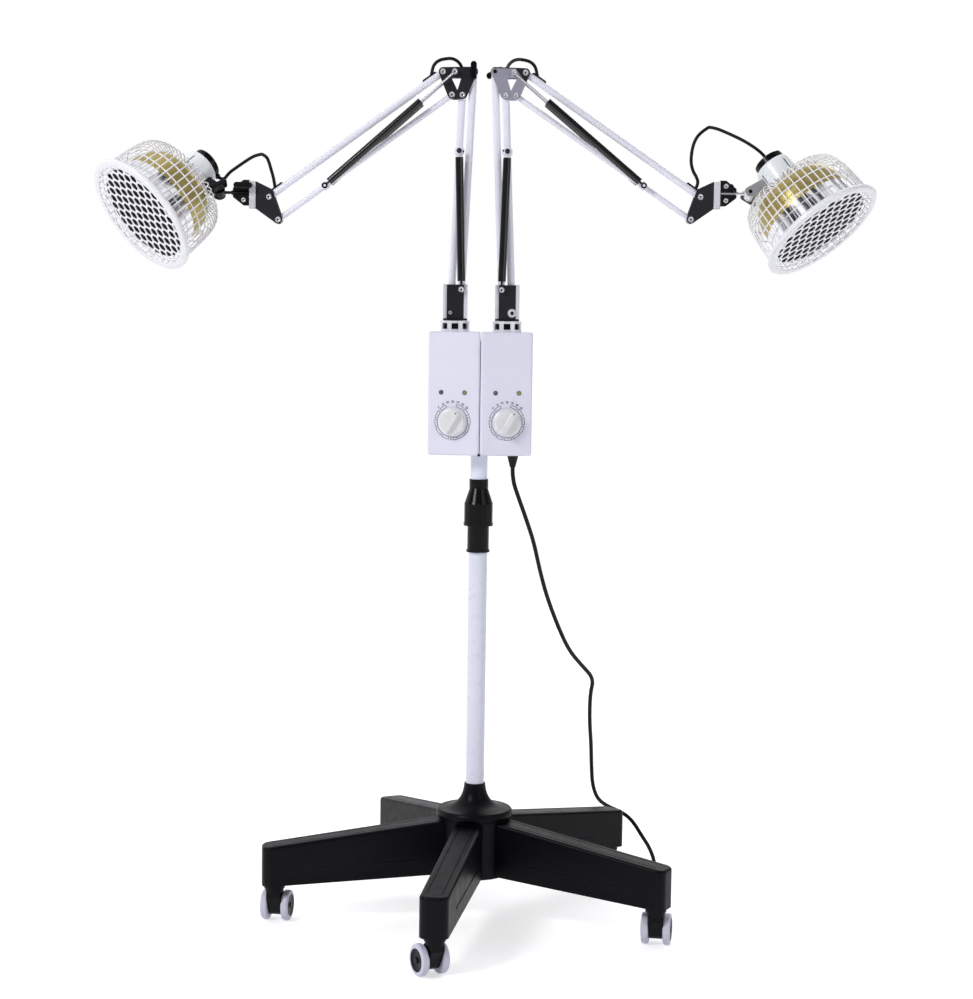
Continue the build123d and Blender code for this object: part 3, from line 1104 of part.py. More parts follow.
for k, side in enumerate(("left", "right")):
    socket = Location(((-1 if k == 0 else 1) * ARM_SPACING / 2, 0, 0), (0, 0, 180 if k == 0 else 0))
    drop = math.radians(UPPER_DROPS[k])
    upper_dir = Vector(math.cos(drop), 0, -math.sin(drop))
    elbow_outer_at = elbow_at + elbow_low_outer
    bracket_at = elbow_outer_at + upper_dir * UPPER_ARM_LENGTH
    lower_clip = fork_low + lower_dir * LOWER_CLIP_AT
    upper_clip = elbow_outer_at + upper_dir * UPPER_CLIP_AT
    anchor_at = elbow_at + anchor
    tilt_pin = bracket_at + Vector(STUD_REACH, 0, HEAD_AXIS_Z)
    roll, tilt = math.radians(HEAD_ROLLS[k]), math.radians(HEAD_TILTS[k])
    hanging = Vector(0, math.sin(roll), -math.cos(roll))
    facing = Vector(1, 0, 0) * math.cos(tilt) + hanging * math.sin(tilt)
    towards_stud = hanging * math.cos(tilt) - Vector(1, 0, 0) * math.sin(tilt)
    rim_centre = tilt_pin - towards_stud * TILT_PIN_X + facing * TILT_PIN_Z
    head = socket * Plane(origin=rim_centre, x_dir=towards_stud, z_dir=facing * -1).location

    save(arm_fork, f"{side}_arm_fork", socket)
    save(lower_outer_bar, f"{side}_lower_outer_bar", socket * pivoted(fork_low, slope(lower_dir)))
    save(lower_inner_bar, f"{side}_lower_inner_bar", socket * pivoted(fork_high, slope(lower_dir)))
    save(lower_springs, f"{side}_lower_springs", socket * pivoted(fork_high, slope(lower_clip - fork_high)))
    save(elbow_plates, f"{side}_elbow_plates", socket * pivoted(elbow_at, 0))
    elbow_knob_at = elbow_at + elbow_high_inner
    knob_turn = Location((0, 0, 0), (0, 0, 90 + ELBOW_WING_TURNS[k]))
    save(elbow_knob, f"{side}_elbow_knob",
         socket * Location((elbow_knob_at.X, CHEEK_OUT + SEAT_GAP, elbow_knob_at.Z), (-90, 0, 0)) * knob_turn)
    save(upper_low_bar, f"{side}_upper_low_bar", socket * pivoted(elbow_outer_at, slope(upper_dir)))
    save(upper_top_bar, f"{side}_upper_top_bar",
         socket * pivoted(elbow_at + elbow_high_outer, slope(upper_dir)))
    save(upper_spring_sleeves, f"{side}_upper_spring_sleeves",
         socket * pivoted(upper_clip, slope(anchor_at - upper_clip)))
    save(upper_spring_rods, f"{side}_upper_spring_rods",
         socket * pivoted(anchor_at, slope(upper_clip - anchor_at)))
    save(head_bracket, f"{side}_head_bracket", socket * pivoted(bracket_at, 0))
    stud_place = socket * Location((tilt_pin.X, 0, tilt_pin.Z), (HEAD_ROLLS[k], 0, 0))
    save(stud, f"{side}_stud", stud_place)
    save(tilt_knob, f"{side}_tilt_knob",
         stud_place * Location((0, ear_out + SEAT_GAP, 0), (-90, 0, 0))
         * Location((0, 0, 0), (0, 0, TILT_WING_TURN)))
    save(lamp_cap(side == "left"), f"{side}_lamp_cap", head)
    save(reflector, f"{side}_reflector", head)
    save(guard, f"{side}_guard", head)
    joints = {
        "fork_low": socket * Location(fork_low), "fork_high": socket * Location(fork_high),
        "elbow": socket * Location(elbow_at), "elbow_outer": socket * Location(elbow_outer_at),
        "elbow_top": socket * Location(elbow_at + elbow_high_outer),
        "clamp": socket * Location(elbow_at + elbow_high_inner), "upper_clip": socket * Location(upper_clip),
        "anchor": socket * Location(anchor_at), "bracket": socket * Location(bracket_at),
        "stud": stud_place, "rim": head,
    }
    for name, joint in joints.items():
        print(side, name, [round(value, 3) for value in joint.position])
    print(side, "tilt axis", [round(v, 5) for v in Plane(stud_place).y_dir],
          "facing", [round(v, 5) for v in Plane(head).z_dir * -1])

cord_length = sum(edge.length for edge in cord_line.line.edges())
cord_section = math.pi * CORD_D ** 2 / 4
volume_length = mains_cord.part.volume / cord_section
print("cord tube:", round(cord_length, 1), "mm, volume over section", round(volume_length, 1))
print("cord radii:", [round(radius) for radius in cord_radii])
print("cord runs:", [round((b - a).length) for a, b in zip(route, route[1:])])
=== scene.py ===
import math

import bmesh
import bpy
from mathutils import Matrix, Vector


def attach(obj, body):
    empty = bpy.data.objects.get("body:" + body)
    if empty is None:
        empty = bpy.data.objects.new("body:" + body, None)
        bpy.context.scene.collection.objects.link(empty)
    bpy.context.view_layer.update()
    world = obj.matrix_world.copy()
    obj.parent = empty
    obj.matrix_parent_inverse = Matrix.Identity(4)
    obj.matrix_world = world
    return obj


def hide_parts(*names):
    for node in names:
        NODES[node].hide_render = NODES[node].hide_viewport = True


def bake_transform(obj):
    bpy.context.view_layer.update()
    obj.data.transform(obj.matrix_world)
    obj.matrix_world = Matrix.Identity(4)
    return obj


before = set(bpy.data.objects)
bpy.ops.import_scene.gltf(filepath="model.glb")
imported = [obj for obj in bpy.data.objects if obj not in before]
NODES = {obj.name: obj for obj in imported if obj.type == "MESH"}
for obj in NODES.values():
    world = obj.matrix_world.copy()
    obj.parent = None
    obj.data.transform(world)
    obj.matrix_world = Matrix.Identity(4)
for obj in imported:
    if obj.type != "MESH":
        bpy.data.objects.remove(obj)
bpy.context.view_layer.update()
MM = 0.001
SIDES = ("left", "right")

# ------------------------------------------------------------------ materials
MIX_A, MIX_B, MIX_OUT = 6, 7, 2          # the colour sockets of a Mix node
CLOUD_SCALE, BLOTCH_SCALE = 14.0, 60.0   # per metre, for colour and for roughness
BUMP_DEPTH = 0.0002                      # metres
EDGE_FROM, EDGE_TO = 0.52, 0.6           # pointiness over which the edge tone, a painted highlight, comes in
VIOLET_METAL = 0.45


def material(name, colour, rough=0.4, metal=0.0, coat=0.0, grain=500.0, bump=0.05, vary=0.06,
             rough_vary=0.1, edge=None, streak=None, spec=0.5):
    """Procedural finish: fine grain, cloudy colour and roughness, and where asked a lighter edge tone, a
    painted highlight on crests.
    """
    m = bpy.data.materials.new(name)
    m.use_nodes = True
    n, link = m.node_tree.nodes, m.node_tree.links.new
    b = n["Principled BSDF"]
    b.inputs["Metallic"].default_value = metal
    b.inputs["Specular IOR Level"].default_value = spec
    b.inputs["Coat Weight"].default_value = coat
    b.inputs["Coat Roughness"].default_value = 0.08
    where = n.new("ShaderNodeTexCoord")
    cloud = n.new("ShaderNodeTexNoise")
    cloud.inputs["Scale"].default_value = CLOUD_SCALE
    cloud.inputs["Detail"].default_value = 5.0
    link(where.outputs["Object"], cloud.inputs["Vector"])
    tone = n.new("ShaderNodeValToRGB")
    dark = [c * (1 - vary) for c in colour]
    light = [min(1.0, c * (1 + vary * 0.6)) for c in colour]
    tone.color_ramp.elements[0].position, tone.color_ramp.elements[1].position = 0.3, 0.7
    tone.color_ramp.elements[0].color = (*dark, 1)
    tone.color_ramp.elements[1].color = (*light, 1)
    link(cloud.outputs["Fac"], tone.inputs["Fac"])
    last = tone.outputs["Color"]
    # lighter colour on sharp crests: a painted highlight along the edges
    if edge:
        shape = n.new("ShaderNodeNewGeometry")
        crest_highlight = n.new("ShaderNodeValToRGB")
        crest_highlight.color_ramp.elements[0].position = EDGE_FROM
        crest_highlight.color_ramp.elements[1].position = EDGE_TO
        link(shape.outputs["Pointiness"], crest_highlight.inputs["Fac"])
        mix = n.new("ShaderNodeMix")
        mix.data_type = "RGBA"
        link(crest_highlight.outputs["Color"], mix.inputs[0])
        link(last, mix.inputs[MIX_A])
        mix.inputs[MIX_B].default_value = (*edge, 1)
        last = mix.outputs[MIX_OUT]
    link(last, b.inputs["Base Color"])
    fine = n.new("ShaderNodeTexNoise")
    fine.inputs["Scale"].default_value = grain
    fine.inputs["Detail"].default_value = 3.0
    if streak:
        run = n.new("ShaderNodeMapping")
        run.inputs["Scale"].default_value = streak
        link(where.outputs["Object"], run.inputs["Vector"])
        link(run.outputs["Vector"], fine.inputs["Vector"])
    else:
        link(where.outputs["Object"], fine.inputs["Vector"])
    level = n.new("ShaderNodeMapRange")
    level.inputs["To Min"].default_value = max(0.02, rough - rough_vary)
    level.inputs["To Max"].default_value = min(1.0, rough + rough_vary)
    blotch = n.new("ShaderNodeTexNoise")
    blotch.inputs["Scale"].default_value = BLOTCH_SCALE
    link(where.outputs["Object"], blotch.inputs["Vector"])
    link(blotch.outputs["Fac"], level.inputs["Value"])
    link(level.outputs["Result"], b.inputs["Roughness"])
    lift = n.new("ShaderNodeBump")
    lift.inputs["Strength"].default_value = bump
    lift.inputs["Distance"].default_value = BUMP_DEPTH
    link(fine.outputs["Fac"], lift.inputs["Height"])
    link(lift.outputs["Normal"], b.inputs["Normal"])
    return m


WHITE = material("white_paint", (0.82, 0.83, 0.965), 0.28, coat=0.3, bump=0.01, grain=900, vary=0.01,
                 rough_vary=0.03)
WIRE = material("white_wire", (0.94, 0.94, 0.985), 0.34, coat=0.2, bump=0.04, grain=700, vary=0.02)
BAR = material("white_bar", (0.87, 0.875, 0.975), 0.3, coat=0.3, bump=0.01, vary=0.01, rough_vary=0.03)
CASE = material("case_plastic", (0.84, 0.84, 0.975), 0.42, bump=0.1, grain=1500, vary=0.015)
CAPW = material("cap_paint", (0.92, 0.95, 0.985), 0.3, coat=0.3, bump=0.03, vary=0.02)
# the edge colours given below are lighter than their bodies: painted highlights on crests
BASE = material("base_plastic", (0.0022, 0.0022, 0.0036), 0.4, bump=0.3, grain=1100, vary=0.25,
                edge=(0.006, 0.006, 0.009), spec=0.1)
BLACK = material("gloss_black", (0.003, 0.003, 0.004), 0.22, coat=0.07, bump=0.06, vary=0.3, spec=0.14)
SLEEVE = material("sleeve_black", (0.002, 0.002, 0.003), 0.2, coat=0.4, bump=0.02, vary=0.3, spec=0.3)
STEELB = material("black_steel", (0.004, 0.004, 0.005), 0.34, bump=0.15, grain=700,
                  vary=0.3, edge=(0.02, 0.02, 0.025), spec=0.2)
RUBBER = material("cord_rubber", (0.003, 0.003, 0.004), 0.4, bump=0.12, grain=1300, vary=0.2, spec=0.2)
STEEL = material("bright_steel", (0.66, 0.66, 0.70), 0.3, metal=0.8, bump=0.08, rough_vary=0.1,
                 streak=(1, 1, 0.05))
PALE = material("plated_edge", (0.82, 0.82, 0.88), 0.34, metal=0.4, bump=0.06, rough_vary=0.08)
# lighter than the black plates of the left elbow: a painted reflection of the bright studio
VIOLET = material("painted_reflection_plate", (0.36, 0.35, 0.44), 0.32, metal=VIOLET_METAL, bump=0.1, vary=0.3,
                  edge=(0.40, 0.39, 0.48))
DARKCHROME = material("dark_chrome", (0.007, 0.007, 0.009), 0.24, bump=0.12, vary=0.5,
                      grain=300, edge=(0.014, 0.014, 0.018), spec=0.3)
MIRROR = material("reflector_chrome", (0.92, 0.92, 0.95), 0.12, metal=1.0, bump=0.02, grain=90,
                  rough_vary=0.03)
GOLD = material("reflector_gold", (0.50, 0.395, 0.13), 0.34, metal=0.5, bump=0.14, grain=160, vary=0.25)
PLATE = material("heat_plate", (0.003, 0.003, 0.004), 0.62, bump=0.3, grain=800, vary=0.3, spec=0.12)
TYRE = material("tyre_grey", (0.68, 0.68, 0.82), 0.45, bump=0.08, grain=900, vary=0.04)
KNOB = material("knob_silver", (0.86, 0.86, 0.88), 0.3, metal=0.1, bump=0.04, vary=0.04)
DIAL = material("dial_print", (0.10, 0.10, 0.14), 0.5, bump=0.02)
TEAL = material("lens_teal", (0.010, 0.085, 0.10), 0.12, coat=0.8, bump=0.02)
OLIVE = material("lens_yellow", (0.30, 0.27, 0.06), 0.12, coat=0.8, bump=0.02)
FLOOR = material("floor", (0.90, 0.90, 0.91), 0.7, bump=0.02, grain=60, vary=0.01)


# ------------------------------------------------------------------ shader helpers
def node(tree, kind, *inputs, **settings):
    """A shader node with its settings; an input is a socket to link or a value."""
    made = tree.nodes.new(kind)
    for key, value in settings.items():
        setattr(made, key, value)
    for k, value in enumerate(inputs):
        if value is None:
            continue
        if hasattr(value, "links"):
            tree.links.new(value, made.inputs[k])
        else:
            made.inputs[k].default_value = value
    return made


def math_node(tree, operation, *inputs):
    """The result of a Math node."""
    return node(tree, "ShaderNodeMath", *inputs, operation=operation).outputs[0]


def step(tree, value, low, high):
    """0 below low, 1 above high, with a smooth step between."""
    made = node(tree, "ShaderNodeMapRange", value, low, high, 0.0, 1.0, interpolation_type="SMOOTHSTEP")
    return made.outputs[0]


# ------------------------------------------------------------------ mesh helpers
def smooth(me, angle=35.0):
    """Smooth faces with sharp edges where they meet at more than the angle."""
    bm = bmesh.new()
    bm.from_mesh(me)
    bmesh.ops.recalc_face_normals(bm, faces=bm.faces)
    for f in bm.faces:
        f.smooth = True
    for e in bm.edges:
        if len(e.link_faces) == 2:
            e.smooth = e.calc_face_angle(0) < math.radians(angle)
    bm.to_mesh(me)
    bm.free()


def piece(name, verts, faces, mat, body, place=None, angle=35.0, bevel=0.0):
    """One mesh piece, given in millimetres in the frame of place, riding a CAD body if one is named."""
    me = bpy.data.meshes.new(name)
    place = place or Matrix.Identity(4)
    me.from_pydata([place @ (Vector(v) * MM) for v in verts], [], faces)
    me.materials.append(mat)
    smooth(me, angle)
    o = bpy.data.objects.new(name, me)
    bpy.context.scene.collection.objects.link(o)
    if bevel:
        mod = o.modifiers.new("edge", "BEVEL")
        mod.width, mod.segments = bevel * MM, 2
        mod.limit_method = "ANGLE"
    if body:
        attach(o, body)
    return o


class Mesh:
    """Collects several simple forms in one mesh, in millimetres."""

    def __init__(self):
        self.verts, self.faces = [], []

    def add(self, verts, faces):
        """Adds one form; its faces count from its own first point."""
        k = len(self.verts)
        self.verts += [tuple(v) for v in verts]
        self.faces += [tuple(i + k for i in f) for f in faces]
        return self

    def lathe(self, profile, place=None, segs=64, closed=True):
        """Revolves (r, z) points about local z."""
        place = place or Matrix.Identity(4)
        verts, faces, m = [], [], len(profile)
        for s in range(segs):
            a = 2 * math.pi * s / segs
            verts += [place @ Vector((r * math.cos(a), r * math.sin(a), z)) for r, z in profile]
        for s in range(segs):
            t = (s + 1) % segs
            for i in range(m if closed else m - 1):
                j = (i + 1) % m
                faces.append((s * m + i, t * m + i, t * m + j, s * m + j))
        return self.add(verts, faces)

    def tube(self, points, radius, segs=8, closed=False):
        """Round tube along points, with flat ends; radius may be a list, one for each point."""
        pts = [Vector(p) for p in points]
        n = len(pts)
        radii = radius if isinstance(radius, (list, tuple)) else [radius] * n
        verts, faces, side = [], [], None
        for i, p in enumerate(pts):
            a = pts[(i - 1) % n] if closed or i else p
            b = pts[(i + 1) % n] if closed or i < n - 1 else p
            t = (b - a).normalized()
            if side is None:
                side = t.orthogonal().normalized()
            side = (side - t * side.dot(t)).normalized()
            up = t.cross(side)
            for s in range(segs):
                w = 2 * math.pi * s / segs
                verts.append(p + (side * math.cos(w) + up * math.sin(w)) * radii[i])
        for i in range(n if closed else n - 1):
            j = (i + 1) % n
            for s in range(segs):
                t = (s + 1) % segs
                faces.append((i * segs + s, j * segs + s, j * segs + t, i * segs + t))
        if not closed:
            faces.append(tuple(range(segs)))
            faces.append(tuple((n - 1) * segs + s for s in reversed(range(segs))))
        return self.add(verts, faces)

    def prism(self, outline, low, high, place=None):
        """Extrudes an (x, y) outline from z low to z high."""
        place = place or Matrix.Identity(4)
        m = len(outline)
        verts = [place @ Vector((x, y, z)) for z in (low, high) for x, y in outline]
        faces = [tuple(reversed(range(m))), tuple(range(m, 2 * m))]
        faces += [(i, (i + 1) % m, m + (i + 1) % m, m + i) for i in range(m)]
        return self.add(verts, faces)

    def make(self, name, mat, body, slot, place=None, angle=35.0, bevel=0.0):
        """The forms so far as one piece."""
        return piece(name, self.verts, self.faces, mat, body, place, angle, bevel)


def polar(r, turn, x=0.0, y=0.0):
    """The point at that radius and angle (radians) from x, y."""
    return x + r * math.cos(turn), y + r * math.sin(turn)


def circle(r, n, x=0.0, y=0.0):
    """Outline of a circle, or of a regular polygon with n corners."""
    return [polar(r, 2 * math.pi * i / n, x, y) for i in range(n)]


def slab(w, h, r, n=4):
    """Outline of a rectangle with round corners of n steps each."""
    out = []
    for cx, cy, a in ((1, 1, 0), (-1, 1, 90), (-1, -1, 180), (1, -1, 270)):
        middle = cx * (w / 2 - r), cy * (h / 2 - r)
        out += [polar(r, math.radians(a + 90 * i / n), *middle) for i in range(n + 1)]
    return out


def axes(origin, x, z):
    """Frame with that origin (mm), x and z directions."""
    z = Vector(z).normalized()
    x = (Vector(x) - z * Vector(x).dot(z)).normalized()
    y = z.cross(x)
    m = Matrix((x, y, z)).transposed().to_4x4()
    m.translation = Vector(origin) * MM
    return m


def mm_place(m):
    """The same frame for points in millimetres."""
    out = m.copy()
    out.translation = m.translation / MM
    return out


TO_BACK = Matrix.Rotation(math.radians(-90), 4, "X")    # local z becomes +Y
TO_FRONT = Matrix.Rotation(math.radians(90), 4, "X")    # local z becomes -Y


def at(x, y, z, turn=None):
    """A place in millimetres, turned if asked."""
    m = Matrix.Translation(Vector((x, y, z)))
    return m @ turn if turn else m


def both_sides(x, z, y):
    """Places on both faces of a pair of plates, z pointing outwards."""
    return at(x, y, z, TO_BACK), at(x, -y, z, TO_FRONT)


def dress(names, mat):
    """Gives CAD nodes a material."""
    for name in names:
        o = NODES[name]
        if not o.data.materials:
            o.data.materials.append(mat)
        for i in range(len(o.data.materials)):
            o.data.materials[i] = mat


# ------------------------------------------------------------------ shared geometry, in millimetres
# an arm is given in its own frame: y across it, x outwards from the axis of its socket
ARM = 42.25                             # from the column's axis to a socket's axis
LOWER_ARM, UPPER_ARM = 350.0, 345.5     # from pivot to pivot
NARROW_FACE, WIDE_FACE = 9.73, 19.02    # outer faces of the inner and of the outer pair of plates
RISE = Vector((14.9, 0, 36.25))         # from an outer pivot to the one above it
CAP_PIVOT = (61, 121)                   # a lamp's tilt axis in its own frame, x and z
FORK_LOW = Vector((8.0, 0, 1005.6))
FORK_HIGH = FORK_LOW + Vector((-17.8, 0, 37.5))
LEAN = math.radians(2.5)
LOWER_DIR = Vector((-math.sin(LEAN), 0, math.cos(LEAN)))
ELBOW = FORK_LOW + LOWER_DIR * LOWER_ARM
ELBOW_OUT = ELBOW + Vector((16.6, 0, 0))
ELBOW_TOP = ELBOW_OUT + RISE
ANCHOR = ELBOW + Vector((12.3, 0, 35.7))
SIGN = {"left": -1, "right": 1}
# the rest pose in degrees: upper arm below level, stud about its axis, lamp on the stud
DROP = {"left": 36.1, "right": 34.2}
ROLL = {"left": 40.5, "right": -28.4}
TILT = {"left": 50.4, "right": 57.4}
ARM_AT, HEAD_AT, UPPER_DIR, BRACKET = {}, {}, {}, {}
for side in SIDES:
    s = SIGN[side]
    arm = Matrix.Translation((s * ARM * MM, 0, 0))
    if s < 0:
        arm = arm @ Matrix.Rotation(math.pi, 4, "Z")
    drop, roll, tilt = (math.radians(d[side]) for d in (DROP, ROLL, TILT))
    UPPER_DIR[side] = Vector((math.cos(drop), 0, -math.sin(drop)))
    BRACKET[side] = ELBOW_OUT + UPPER_DIR[side] * UPPER_ARM
    pin = BRACKET[side] + Vector((95.7, 0, 42.4))
    hang = Vector((0, math.sin(roll), -math.cos(roll)))
    facing = Vector((math.cos(tilt), 0, 0)) + hang * math.sin(tilt)
    to_stud = hang * math.cos(tilt) - Vector((math.sin(tilt), 0, 0))
    rim = pin - to_stud * CAP_PIVOT[0] + facing * CAP_PIVOT[1]
    ARM_AT[side] = arm
    HEAD_AT[side] = arm @ axes(rim, to_stud, -facing)


# ------------------------------------------------------------------ camera and light
scene = bpy.context.scene
camera = bpy.data.objects.new("camera", bpy.data.cameras.new("camera"))
scene.collection.objects.link(camera)
PITCH, YAW, CAMERA_ROLL = 0.0942, 0.0037, 0.0139    # radians
DISTANCE, EYE = 3500, 1031                          # mm in front of the column's axis and over the floor
FOCAL_PIXELS, PHOTO_HEIGHT, SENSOR = 2140.2, 999, 36.0
cy, sy, cp, sp = math.cos(YAW), math.sin(YAW), math.cos(PITCH), math.sin(PITCH)
level, upright = Vector((cy, -sy, 0)), Vector((sy * sp, cy * sp, cp))
ahead = Vector((sy * cp, cy * cp, -sp))
right = level * math.cos(CAMERA_ROLL) + upright * math.sin(CAMERA_ROLL)
up = upright * math.cos(CAMERA_ROLL) - level * math.sin(CAMERA_ROLL)
look = Matrix((right, up, -ahead)).transposed().to_4x4()
look.translation = Vector((0.0, -DISTANCE / 1000, EYE / 1000))
camera.matrix_world = look
camera.data.sensor_fit = "VERTICAL"
camera.data.sensor_height = SENSOR
camera.data.lens = FOCAL_PIXELS / PHOTO_HEIGHT * SENSOR
camera.data.clip_end = 120.0
scene.camera = camera
scene.view_settings.view_transform = "Standard"


def area(name, place, target, size, power):
    """A square white light at place, aimed at target; metres and watts."""
    light = bpy.data.lights.new(name, "AREA")
    light.shape, light.size, light.energy = "SQUARE", size, power
    o = bpy.data.objects.new(name, light)
    scene.collection.objects.link(o)
    o.location = place
    o.rotation_euler = (Vector(target) - Vector(place)).to_track_quat("-Z", "Y").to_euler()


area("key", (-2.3, -2.4, 2.9), (0, 0, 0.9), 0.9, 62)
area("fill", (2.4, -2.2, 1.8), (0, 0, 0.8), 1.8, 14)
area("rim_light", (1.2, 2.4, 2.6), (0, 0, 1.0), 1.4, 16)

# a white studio, seen white by the camera: dark behind it but for strips and two windows, dimmer on the right
WINDOWS = ((-1.0, -0.62, 0.12, 0.56), (0.98, 1.3, -0.1, 0.36))    # two azimuths (radians), two heights
DIM_SIDE, DIM_SHARE = (1.3, 2.75, -1.0, 0.9), 0.75
WINDOW_EDGE = 0.05
STRIPS, STRIP_SHIFT, STRIP_EDGE = 11.0, 0.6, (0.6, 0.8)    # how many round the circle, and where they start
SIDE_EDGE, ZENITH_EDGE = (1.4, 1.6), (0.965, 0.99)         # radians from the camera's side; height
DARK, BRIGHT = (0.02, 0.02, 0.025, 1), (0.97, 0.98, 1.0, 1)
world = bpy.data.worlds.new("studio")
scene.world = world
world.use_nodes = True
wt = world.node_tree
direction = node(wt, "ShaderNodeTexCoord")
parts = node(wt, "ShaderNodeSeparateXYZ", direction.outputs["Generated"])
dx, dy, dz = parts.outputs
around = math_node(wt, "ARCTAN2", dx, math_node(wt, "MULTIPLY", dy, -1.0))


def window(low, high, bottom, top):
    """1 between two azimuths and two heights of the direction, 0 elsewhere."""
    out = None
    for value, start, end in ((around, low, high), (dz, bottom, top)):
        minus = math_node(wt, "MULTIPLY", value, -1.0)
        for edge in (step(wt, value, start, start + WINDOW_EDGE), step(wt, minus, -end, WINDOW_EDGE - end)):
            out = math_node(wt, "MULTIPLY", out, edge) if out else edge
    return out


wave = math_node(wt, "SINE", math_node(wt, "MULTIPLY_ADD", around, STRIPS, STRIP_SHIFT))
strips = step(wt, wave, *STRIP_EDGE)
sides = step(wt, math_node(wt, "ABSOLUTE", around), *SIDE_EDGE)
above = step(wt, dz, *ZENITH_EDGE)
dimmed = math_node(wt, "MULTIPLY_ADD", window(*DIM_SIDE), -DIM_SHARE, 1.0)
sides = math_node(wt, "MULTIPLY", sides, dimmed)
lit = math_node(wt, "MAXIMUM", math_node(wt, "MAXIMUM", strips, sides), above)
for opening in WINDOWS:
    lit = math_node(wt, "MAXIMUM", lit, window(*opening))
shade = node(wt, "ShaderNodeMix", lit, data_type="RGBA")
shade.inputs[MIX_A].default_value = DARK
shade.inputs[MIX_B].default_value = BRIGHT
path = node(wt, "ShaderNodeLightPath")
seen = node(wt, "ShaderNodeMix", path.outputs["Is Camera Ray"], data_type="RGBA")
wt.links.new(shade.outputs[MIX_OUT], seen.inputs[MIX_A])
seen.inputs[MIX_B].default_value = (1, 1, 1, 1)
back = wt.nodes["Background"]
wt.links.new(seen.outputs[MIX_OUT], back.inputs["Color"])
back.inputs["Strength"].default_value = 1.0

# the floor keeps the shadow; seen directly or in metal it is lifted to the white of the studio
ft = FLOOR.node_tree
ways = node(ft, "ShaderNodeLightPath")
shown = math_node(ft, "MAXIMUM", ways.outputs["Is Camera Ray"], ways.outputs["Is Glossy Ray"])
shown = math_node(ft, "MAXIMUM", shown, ways.outputs["Is Transmission Ray"])
FLOOR_LIFT = 0.5
FLOOR.cycles.emission_sampling = "NONE"
floor_shader = ft.nodes["Principled BSDF"]
floor_shader.inputs["Emission Color"].default_value = (1, 1, 1, 1)
ft.links.new(math_node(ft, "MULTIPLY", shown, FLOOR_LIFT), floor_shader.inputs["Emission Strength"])

HALF_WIDTH, NEAR, FAR = 40, -9, 70    # metres
ground = bpy.data.meshes.new("floor")
corners = [(-HALF_WIDTH, NEAR), (HALF_WIDTH, NEAR), (HALF_WIDTH, FAR), (-HALF_WIDTH, FAR)]
ground.from_pydata([(x, y, 0) for x, y in corners], [], [(0, 1, 2, 3)])
ground.materials.append(FLOOR)
floor = bpy.data.objects.new("floor", ground)
scene.collection.objects.link(floor)

# ------------------------------------------------------------------ finishes of the CAD nodes
dress(["base_star", "hub_cover"], BASE)
dress([f"caster_body_{k}" for k in range(1, 6)], BASE)
dress([f"caster_wheels_{k}" for k in range(1, 6)], TYRE)
dress(["lower_tube", "upper_tube"], WHITE)
dress(["collet_body", "collet_nut"], BLACK)
dress(["box_front_covers", "box_rear_covers"], CASE)
dress(["indicator_lenses"], TEAL)
dress(["timer_units"], BLACK)
dress(["timer_knob_left", "timer_knob_right"], KNOB)
dress(["box_bracket"], DARKCHROME)
dress(["strain_relief", "plug", "mains_cord", "cord_coil"], RUBBER)
dress(["arm_sockets"], PALE)
for side in SIDES:
    # the forks' chrome is painted near black: a painted dark reflection
    dress([f"{side}_arm_fork"], DARKCHROME)
    bars = ("lower_outer_bar", "lower_inner_bar", "upper_low_bar", "upper_top_bar")
    dress([f"{side}_{n}" for n in bars], BAR)
    dress([f"{side}_{n}" for n in ("lower_springs", "upper_spring_sleeves")], SLEEVE)
    dress([f"{side}_{n}" for n in ("upper_spring_rods", "stud")], STEEL)
    dress([f"{side}_{n}" for n in ("elbow_plates", "head_bracket")], STEELB)
    dress([f"{side}_{n}" for n in ("elbow_knob", "tilt_knob")], BLACK)
    dress([f"{side}_lamp_cap"], CAPW)
    dress([f"{side}_reflector"], GOLD)
    dress([f"{side}_guard"], WIRE)

# the right elbow's plates get a lighter, plated colour than the same plates on the left: a painted reflection
# of the bright studio; its outer corner is painted black, a painted dark reflection, and it is black above a
# height on its top
TOP_BLACK_FROM, TOP_BLACK_TO = 1.3974, 1.398       # height in metres
CORNER_SLOPE, CORNER_FROM, CORNER_TO = 0.75, 1.098, 1.0988
et = VIOLET.node_tree
spot = node(et, "ShaderNodeSeparateXYZ", node(et, "ShaderNodeTexCoord").outputs["Object"])
corner = math_node(et, "MULTIPLY_ADD", spot.outputs[2], CORNER_SLOPE, spot.outputs[0])
black_part = math_node(et, "MAXIMUM", step(et, spot.outputs[2], TOP_BLACK_FROM, TOP_BLACK_TO),
                       step(et, corner, CORNER_FROM, CORNER_TO))
plated = et.nodes["Principled BSDF"]
tint = node(et, "ShaderNodeMix", black_part, data_type="RGBA")
et.links.new(plated.inputs["Base Color"].links[0].from_socket, tint.inputs[MIX_A])
tint.inputs[MIX_B].default_value = (0.004, 0.004, 0.005, 1)
et.links.new(tint.outputs[MIX_OUT], plated.inputs["Base Color"])
metal = math_node(et, "MULTIPLY_ADD", black_part, -VIOLET_METAL, VIOLET_METAL)
et.links.new(metal, plated.inputs["Metallic"])
dress(["right_elbow_plates"], VIOLET)
# the left stud is painted dark while the right one is bright steel: shaded and lit copies of one steel, a
# painted reflection
dress(["left_stud"], DARKCHROME)

